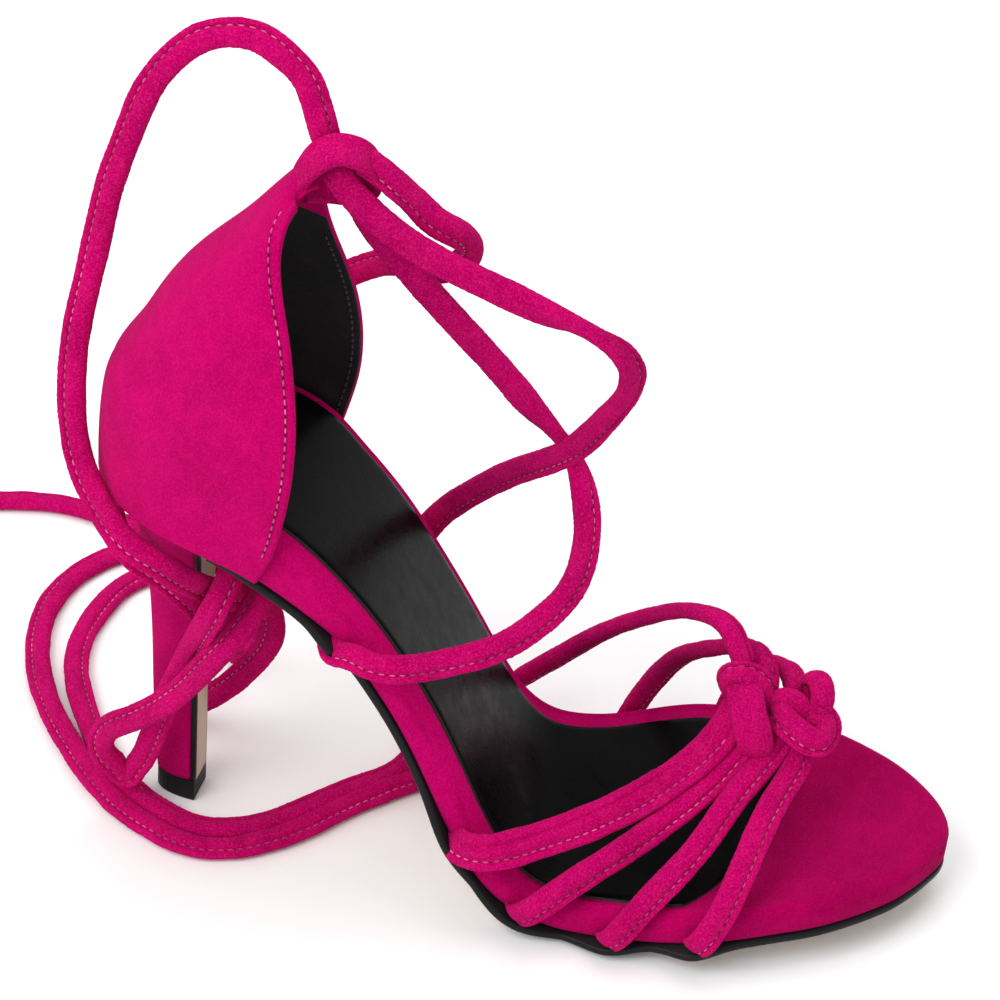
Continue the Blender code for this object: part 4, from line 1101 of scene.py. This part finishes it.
def make_cup(look, sole):
    """Closed heel cup: suede outside, black lining inside, rounded edges and sewn rows."""
    s = np.linspace(-1.0, 1.0, 141)
    turns = np.sign(s) * (1 - (1 - np.abs(s)) ** 1.25)
    outer, normal = cup_surface(look, sole, turns, 84)
    size = outer.shape[1]
    wall = look.cup_wall - 0.0001
    inner = outer - normal * wall
    edge, far_edge = [[outer[:, k] - normal[:, k] * (0.5 * wall * (1 - math.cos(t * math.pi)))
                       + unit(outer[:, k] - outer[:, beside]) * (0.5 * wall * math.sin(t * math.pi))
                       for t in (0.15, 0.5, 0.85)] for k, beside in ((0, 1), (-1, -2))]
    grid = np.concatenate([outer.transpose(1, 0, 2), far_edge, inner[:, ::-1].transpose(1, 0, 2), edge[::-1]])
    grid = grid.transpose(1, 0, 2)
    fold = grid[0].copy()
    fold[:size] = outer[0] - normal[0] * 0.5 * wall - np.array((0, 0, 0.0003))
    fold[size:] = 0.5 * (grid[0][size:] + fold[size:])
    grid = np.concatenate([fold[None], grid])
    total = grid.shape[1]
    mark = np.zeros(total, int)
    mark[size + 3: 2 * size + 2] = 1
    mark[[size + 2, 2 * size + 2]] = 2
    index = np.tile(mark, (grid.shape[0] - 1, 1))
    index[-11:] = 0
    cup = skin("suede_heel_cup", grid, [FINISH["cup"], FINISH["lining"], FINISH["cut"]], wrap=True,
               index=index.ravel())
    done(cup, "pink_suede", "heel_cup")
    made = []
    inside = []
    for column, next_one in ((0, 9), (-1, -10)):
        line = outer[:, column]
        inward = unit(outer[:, next_one] - line)
        face = normal[:, column]
        for _ in range(10):
            inward[1:-1] = unit(inward[:-2] + inward[1:-1] + inward[2:])
            face[1:-1] = unit(face[:-2] + face[1:-1] + face[2:])
        row = smooth((line + inward * 0.0012)[6:-4:4], 300)
        run = unit(np.gradient(row, axis=0))
        back = np.linspace(6, len(line) - 5, 300)
        face, inward = [read_at(back, np.arange(len(line)), v) for v in (face, inward)]
        at = distances(row)
        stops = np.arange(0.002, at[-1] - 0.001, STITCH_PITCH)
        for store, shift, sign in ((made, 0.0001 * face, 1), (inside, inward * 0.0003 - face * wall, -1)):
            held = stops if sign > 0 else stops[stops < 0.84 * at[-1]]
            spots = [read_at(held, at, v) for v in (row + shift, run, sign * face)]
            store.append((spots[0] + unit(spots[2]) * 0.0001, unit(spots[1]), unit(spots[2])))
    rows = sew("heel_cup_stitches", *merged(made), FINISH["thread"], FINISH["hole_shade"],
               0.0012, 0.00012)
    done(rows, "pink_suede")
    rows = sew("heel_cup_lining_stitches", *merged(inside), FINISH["dark_thread"],
               FINISH["hole_shade"], 0.0014, 0.00016)
    done(rows, "black_leather")


# Loop at the cup's tip
LOOP_LINE = (
    # the band's middle line in millimetres: from the near side of the cup's tip,
    # over the laces, down behind them and back to the far side of the tip
    (22.8, -2.0, 165.0), (23.7, -2.9, 168.4), (25.7, -3.8, 172.6), (28.4, -4.0, 176.0), (31.7, -3.6, 177.6),
    (35.1, -3.0, 177.0), (37.6, -1.4, 174.8), (38.9, 1.2, 170.8), (37.8, 4.6, 166.2), (33.5, 6.8, 163.0),
    (28.0, 6.2, 163.0), (24.0, 3.2, 164.5),
)
LOOP_MIDDLE = (31.5, 1.5, 170.0)
LOOP_AXIS = (0.16, -0.74, -0.65)
LOOP_WIDTH = 0.0068


def make_loop(look):
    """Folded suede band that holds the laces at the tip of the heel cup: a band with
    rolled edges along a chosen line, its face turned away from the bundle's axis."""
    path = smooth(MM * np.array(LOOP_LINE), 140)
    axis = unit(np.array(LOOP_AXIS))
    away = path - MM * np.array(LOOP_MIDDLE)
    away = away - axis * (away @ axis)[:, None]
    _, out, beside = turned_frame(path, unit(away), 0.0, 0.003)
    rings = []
    section = [(-0.5, -0.2), (-0.44, -0.5), (-0.2, -0.5), (0.2, -0.5), (0.44, -0.5), (0.5, -0.2), (0.5, 0.35),
               (0.47, 0.60), (0.40, 0.66), (0.30, 0.52), (0.0, 0.50), (-0.30, 0.52), (-0.40, 0.66),
               (-0.47, 0.60), (-0.5, 0.35)]
    wide = look.loop_width * uneven(len(path), 0.05, 0.05, 91)[:, None]
    for a, b in section:
        rings.append(path + beside * (a * wide) + out * (b * 0.0017))
    loop = skin("suede_heel_loop", np.stack(rings, axis=1), [FINISH["suede"]], wrap=True, capped=True)
    done(loop, "pink_suede", "heel_loop")


# Toe straps and knots
def strap_path(sole, side_name, share, points, count):
    """A toe strap's centre line: from between board and outsole, out round the board's
    edge along the strap's own slant, and on to its knot."""
    side = -1 if side_name == "near" else 1
    first = MM * np.array(points[0], float)
    x, z = sole.point(share, -RIM_THICKNESS + 0.0012)
    edge = np.array((float(x), side * (sole.half(share, side) + 0.0017), float(z)))
    slant = unit(first - edge) * (1.0, 0.0, 0.3)
    tucked = edge - 0.0030 * slant - (0.0, side * 0.0046, 0.0002)
    return smooth([tucked, edge] + [MM * np.array(p, float) for p in points], count)


def make_straps(look, sole):
    """Seven sewn toe straps, each a filled roll with a flat sewn edge."""
    grids = []
    places = []
    for number, (name, share, width, points) in enumerate(STRAPS):
        count = 150
        path = strap_path(sole, name, share, points, count)
        length = path_length(path)
        reference = path - np.array([0.0, 0.0, 0.004])
        reference[:, 0] = 0.0
        reference[:, 2] = np.maximum(reference[:, 2], 0.0)
        run, toward, beside = turned_frame(path, unit(reference), 0.0, 0.004)
        if name == "far":
            beside = -beside
        at = np.linspace(0.0, length, count)
        wide = width * look.strap_width * uneven(count, length, 0.03, 40 + number)
        deep = look.strap_depth * uneven(count, length, 0.05, 60 + number)
        deep = deep * (0.32 + 0.68 * np.clip((at - 0.003) / 0.008, 0.0, 1.0))
        wide = wide * (0.30 + 0.70 * np.clip(at / 0.0058, 0.0, 1.0))
        grids.append(nappy(band_grid(path, toward, beside, wide, deep, double=width > 1.2), NAP, number))
        places.append(stitch_places(path, run, toward, beside, wide, deep, both=True, skip=0.006))
    return grids, places


KNOT_BANDS = (
    # width and depth as shares of a strap's, which face and edge are sewn (1 outer
    # face, -1 inner face; 1 or -1 for the side), the knot's inner point that the
    # face looks away from, then the band's chosen points, in millimetres
    (0.80, 1.10, (1, -1), (129.5, 4.0, 50.0), (
        (127.3, 0.4, 47.5), (124.9, -0.5, 51.0), (124.3, -0.8, 54.0), (126.3, -1.2, 56.0),
        (129.4, -1.2, 56.0), (132.0, -1.0, 54.3), (133.6, -0.7, 51.2), (133.2, 1.0, 47.0))),
    (1.30, 1.05, (-1, 1), (131.0, 2.5, 43.5), (
        (127.4, 0.5, 54.5), (128.4, -3.2, 53.0), (129.5, -6.0, 50.6), (130.7, -8.0, 47.6),
        (131.9, -9.0, 44.4), (132.6, -8.6, 41.4), (132.6, -6.0, 38.8), (131.0, -2.5, 38.5))),
    (0.74, 1.15, (-1, 1), (139.5, 3.0, 45.0), (
        (135.6, -0.5, 44.5), (135.6, -1.2, 48.2), (137.2, -1.5, 50.4), (139.6, -1.5, 50.4),
        (141.8, -1.8, 48.8), (142.8, -2.0, 46.2), (142.3, -1.0, 43.0))),
    (1.08, 1.05, (1, 1), (142.5, 1.5, 41.0), (
        (135.8, -1.0, 48.4), (137.6, -4.8, 47.4), (141.0, -7.4, 46.2), (144.2, -8.4, 44.9),
        (146.9, -7.4, 44.2), (148.2, -4.8, 45.2), (147.6, -2.6, 46.8), (145.2, -1.9, 47.2),
        (142.8, -1.0, 45.5))),
    (0.92, 0.95, (-1, 1), (144.4, 1.0, 47.5), (
        (143.6, 2.2, 43.5), (142.9, 3.8, 46.5), (142.7, 4.9, 49.6), (143.4, 4.4, 52.3),
        (144.9, 2.6, 53.6), (146.0, 0.5, 52.3), (146.1, -1.3, 49.8), (145.2, -2.4, 46.5))),
)


def make_toe(look, sole):
    """Joins the toe straps and their knots in one piece of many sewn bands."""
    grids, places = make_straps(look, sole)
    for number, (wide, deep, sewn, middle, points) in enumerate(KNOT_BANDS):
        path = smooth(MM * np.array(points), 110)
        away = unit(path - MM * np.array(middle))
        run, out, beside = turned_frame(path, away, 0.0, 0.003)
        out, beside = out * sewn[0], beside * sewn[1]
        wide = wide * look.strap_width * uneven(110, 0.03, 0.04, 200 + number)
        deep = deep * look.strap_depth * uneven(110, 0.03, 0.05, 220 + number)
        grids.append(nappy(band_grid(path, out, beside, wide, deep), NAP, 300 + number))
        places.append(stitch_places(path, run, out, beside, wide, deep))
    points = []
    faces = []
    base = 0
    for grid in grids:
        grid = dome_ends(grid, 0.0012)
        rows, columns = grid.shape[:2]
        cells = skin_faces(rows, columns, True)
        points.append(grid.reshape(-1, 3))
        faces.append(cells + base)
        base += rows * columns
    straps = mesh_object("suede_toe_straps", np.concatenate(points), np.concatenate(faces), [FINISH["suede"]])
    done(straps, "pink_suede", "toe_straps")
    rows = sew("toe_strap_stitches", *merged(places), FINISH["thread"], FINISH["hole_shade"])
    done(rows, "pink_suede")


# Studio
def put(made, right, up, back, place):
    """Stands a camera or lamp at a place, given its right, up and back directions."""
    matrix = np.eye(4)
    matrix[:3] = np.stack([right, up, back, place], axis=1)
    made.matrix_world = Matrix(matrix.tolist())
    bpy.context.collection.objects.link(made)


def make_camera():
    """Camera at the photograph's place, turn, tilt and roll."""
    t, e, r = CAMERA_TURN, CAMERA_TILT, CAMERA_ROLL
    back = np.array((math.sin(t) * math.cos(e), -math.cos(t) * math.cos(e), math.sin(e)))
    right = np.array((math.cos(t), math.sin(t), 0.0))
    up = np.cross(back, right)
    turned = right * math.cos(r) + up * math.sin(r)
    raised = -right * math.sin(r) + up * math.cos(r)
    data = bpy.data.cameras.new("photo_camera")
    data.sensor_width = 36.0
    data.lens = CAMERA_LENS
    data.clip_start = 0.01
    made = bpy.data.objects.new("photo_camera", data)
    put(made, turned, raised, back, CAMERA_PLACE)
    bpy.context.scene.camera = made


def make_lamp(name, place, aim, size, power):
    """A soft square lamp that looks at a point."""
    data = bpy.data.lights.new(name, "AREA")
    data.shape = "SQUARE"
    data.size = size
    data.energy = power
    made = bpy.data.objects.new(name, data)
    back = unit(np.array(place, float) - np.array(aim, float))
    right = unit(np.cross((0.0, 0.0, 1.0), back))
    up = np.cross(back, right)
    put(made, right, up, back, place)


def make_studio(look):
    """White floor, soft lamps and a bright even surround."""
    s = Shader("studio_floor")
    s.set(Base_Color=look.floor_colour, Roughness=0.85, Specular_IOR_Level=0.15)
    corners = [(-3, -3, 0), (3, -3, 0), (3, 3, 0), (-3, 3, 0)]
    floor = mesh_object("studio_floor", corners, [[0, 1, 2, 3]], [s.material])
    world = bpy.data.worlds.new("studio")
    world.use_nodes = True
    back = world.node_tree.nodes["Background"]
    back.inputs["Color"].default_value = (1.0, 1.0, 1.0, 1.0)
    back.inputs["Strength"].default_value = 0.75
    bpy.context.scene.world = world
    bpy.context.scene.view_settings.view_transform = "Standard"
    make_lamp("key_lamp", (-0.45, -0.58, 0.82), (0.06, 0.0, 0.06), 0.7, 7.5)
    make_lamp("top_lamp", (0.25, 0.35, 1.1), (0.06, 0.0, 0.06), 0.9, 4.5)


# Add-on
class SandalLook(bpy.types.PropertyGroup):
    """Sizes and colours of the sandal that a user would change"""

    footbed_run: bpy.props.FloatProperty(
        name="Footbed run", description="Length of the footbed along the floor",
        default=FOOTBED_RUN, min=0.0001, unit="LENGTH", subtype="DISTANCE")
    footbed_rise: bpy.props.FloatProperty(
        name="Footbed rise", description="Height of the heel seat over the toe",
        default=FOOTBED_RISE, min=0.0001, unit="LENGTH", subtype="DISTANCE")
    ball_width: bpy.props.FloatProperty(
        name="Ball width", description="Width that the footbed's outline is a share of",
        default=BALL_WIDTH, min=0.0001, unit="LENGTH", subtype="DISTANCE")
    heel_seat_width: bpy.props.FloatProperty(
        name="Heel seat width", description="Width of the heel under the seat",
        default=HEEL_SEAT_WIDTH, min=0.0001, unit="LENGTH", subtype="DISTANCE")
    heel_seat_length: bpy.props.FloatProperty(
        name="Heel seat length", description="Length of the heel under the seat",
        default=HEEL_SEAT_LENGTH, min=0.0001, unit="LENGTH", subtype="DISTANCE")
    cup_wall: bpy.props.FloatProperty(
        name="Cup wall", description="Thickness of the heel cup",
        default=CUP_WALL, min=0.0001, unit="LENGTH", subtype="DISTANCE")
    strap_width: bpy.props.FloatProperty(
        name="Strap width", description="Width of a toe strap",
        default=STRAP_WIDTH, min=0.0001, unit="LENGTH", subtype="DISTANCE")
    strap_depth: bpy.props.FloatProperty(
        name="Strap depth", description="Thickness of a toe strap",
        default=STRAP_DEPTH, min=0.0001, unit="LENGTH", subtype="DISTANCE")
    lace_width: bpy.props.FloatProperty(
        name="Lace width", description="Width of a lace",
        default=LACE_WIDTH, min=0.0001, unit="LENGTH", subtype="DISTANCE")
    lace_depth: bpy.props.FloatProperty(
        name="Lace depth", description="Thickness of a lace",
        default=LACE_DEPTH, min=0.0001, unit="LENGTH", subtype="DISTANCE")
    loop_width: bpy.props.FloatProperty(
        name="Loop width", description="Width of the band that holds the laces",
        default=LOOP_WIDTH, min=0.0001, unit="LENGTH", subtype="DISTANCE")
    suede_colour: bpy.props.FloatVectorProperty(
        name="Suede", description="Colour of the pink suede",
        default=(0.61, 0.0, 0.142, 1.0), min=0.0, max=1.0, size=4, subtype="COLOR")
    thread_colour: bpy.props.FloatVectorProperty(
        name="Thread", description="Colour of the pink stitches",
        default=(0.82, 0.18, 0.42, 1.0), min=0.0, max=1.0, size=4, subtype="COLOR")
    leather_colour: bpy.props.FloatVectorProperty(
        name="Leather", description="Colour of the black lining and sock",
        default=(0.010, 0.010, 0.011, 1.0), min=0.0, max=1.0, size=4, subtype="COLOR")
    edge_colour: bpy.props.FloatVectorProperty(
        name="Sole edge", description="Colour of the painted sole edge and top lift",
        default=(0.006, 0.006, 0.007, 1.0), min=0.0, max=1.0, size=4, subtype="COLOR")
    sole_colour: bpy.props.FloatVectorProperty(
        name="Sole leather", description="Colour of the bare leather on heel breast and sole",
        default=(0.63, 0.49, 0.37, 1.0), min=0.0, max=1.0, size=4, subtype="COLOR")
    floor_colour: bpy.props.FloatVectorProperty(
        name="Floor", description="Colour of the studio floor",
        default=(0.93, 0.93, 0.935, 1.0), min=0.0, max=1.0, size=4, subtype="COLOR")


def ready(context):
    """The user's settings, with the materials made from them the first time."""
    look = context.scene.sandal_look
    if not FINISH:
        FINISH.update(make_finishes(look))
    return look


class SandalCamera(bpy.types.Operator):
    """Places the camera as the photograph has it"""

    bl_idname = "sandal.camera"
    bl_label = "Camera"

    def execute(self, context):
        make_camera()
        return {"FINISHED"}


class SandalLongLaces(bpy.types.Operator):
    """Builds the two long wrap laces"""

    bl_idname = "sandal.long_laces"
    bl_label = "Long laces"

    def execute(self, context):
        look = ready(context)
        make_long_lace(look, "suede_lace_near", HIGH_LOOP, "lace_near", 3)
        make_long_lace(look, "suede_lace_far", BACK_LACE, "lace_far", 4)
        return {"FINISHED"}


class SandalFrontLaces(bpy.types.Operator):
    """Builds the two laces that cross over the instep"""

    bl_idname = "sandal.front_laces"
    bl_label = "Front laces"

    def execute(self, context):
        look = ready(context)
        make_front_lace(look, "suede_front_lace_near", NEAR_LACE, NEAR_ROLLS, 11, "ankle_laces")
        make_front_lace(look, "suede_front_lace_far", FAR_LACE, FAR_ROLLS, 12)
        return {"FINISHED"}


class SandalRim(bpy.types.Operator):
    """Builds the suede covered board"""

    bl_idname = "sandal.rim"
    bl_label = "Footbed rim"

    def execute(self, context):
        look = ready(context)
        make_rim(Sole(look))
        return {"FINISHED"}


class SandalOutsole(bpy.types.Operator):
    """Builds the thin sole with its painted edge"""

    bl_idname = "sandal.outsole"
    bl_label = "Outsole"

    def execute(self, context):
        look = ready(context)
        make_outsole(look, Sole(look))
        return {"FINISHED"}


class SandalSock(bpy.types.Operator):
    """Builds the black leather sock on the footbed"""

    bl_idname = "sandal.sock"
    bl_label = "Leather sock"

    def execute(self, context):
        look = ready(context)
        make_sock(Sole(look))
        return {"FINISHED"}


class SandalHeel(bpy.types.Operator):
    """Builds the covered heel and its leather breast"""

    bl_idname = "sandal.heel"
    bl_label = "Heel"

    def execute(self, context):
        look = ready(context)
        make_heel(look, Sole(look))
        return {"FINISHED"}


class SandalTopLift(bpy.types.Operator):
    """Gives the heel's top lift its material"""

    bl_idname = "sandal.top_lift"
    bl_label = "Top lift"

    def execute(self, context):
        ready(context)
        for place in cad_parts["top_lift"].material_slots:
            place.material = FINISH["lift"]
        return {"FINISHED"}


class SandalHeelCup(bpy.types.Operator):
    """Builds the closed heel cup with its lining and seams"""

    bl_idname = "sandal.heel_cup"
    bl_label = "Heel cup"

    def execute(self, context):
        look = ready(context)
        make_cup(look, Sole(look))
        return {"FINISHED"}


class SandalHeelLoop(bpy.types.Operator):
    """Builds the loop that holds the laces at the cup's tip"""

    bl_idname = "sandal.heel_loop"
    bl_label = "Heel loop"

    def execute(self, context):
        look = ready(context)
        make_loop(look)
        return {"FINISHED"}


class SandalToeStraps(bpy.types.Operator):
    """Builds the toe straps and their two knots"""

    bl_idname = "sandal.toe_straps"
    bl_label = "Toe straps"

    def execute(self, context):
        look = ready(context)
        make_toe(look, Sole(look))
        return {"FINISHED"}


class SandalStudio(bpy.types.Operator):
    """Adds the floor, the lamps and the bright surround"""

    bl_idname = "sandal.studio"
    bl_label = "Studio"

    def execute(self, context):
        look = ready(context)
        make_studio(look)
        return {"FINISHED"}


class SandalPanel(bpy.types.Panel):
    """Sizes, colours and a button for each step"""

    bl_label = "Sandal"
    bl_idname = "VIEW3D_PT_sandal"
    bl_space_type = "VIEW_3D"
    bl_region_type = "UI"
    bl_category = "Sandal"

    def draw(self, context):
        for name in SandalLook.__annotations__:
            self.layout.prop(context.scene.sandal_look, name)
        for step in STEPS:
            self.layout.operator(step.bl_idname)


STEPS = (SandalCamera, SandalLongLaces, SandalFrontLaces, SandalRim, SandalOutsole, SandalSock, SandalHeel,
         SandalTopLift, SandalHeelCup, SandalHeelLoop, SandalToeStraps, SandalStudio)
CLASSES = (SandalLook, *STEPS, SandalPanel)


def register():
    """Registers the add-on's classes."""
    for item in CLASSES:
        bpy.utils.register_class(item)
    bpy.types.Scene.sandal_look = bpy.props.PointerProperty(type=SandalLook)


def unregister():
    """Takes the add-on's classes off again."""
    del bpy.types.Scene.sandal_look
    for item in reversed(CLASSES):
        bpy.utils.unregister_class(item)


def main():
    """Runs every step."""
    register()
    bpy.ops.sandal.camera()
    bpy.ops.sandal.long_laces()
    bpy.ops.sandal.front_laces()
    bpy.ops.sandal.rim()
    bpy.ops.sandal.outsole()
    bpy.ops.sandal.sock()
    bpy.ops.sandal.heel()
    bpy.ops.sandal.top_lift()
    bpy.ops.sandal.heel_cup()
    bpy.ops.sandal.heel_loop()
    bpy.ops.sandal.toe_straps()
    bpy.ops.sandal.studio()


if __name__ == "__main__":
    main()
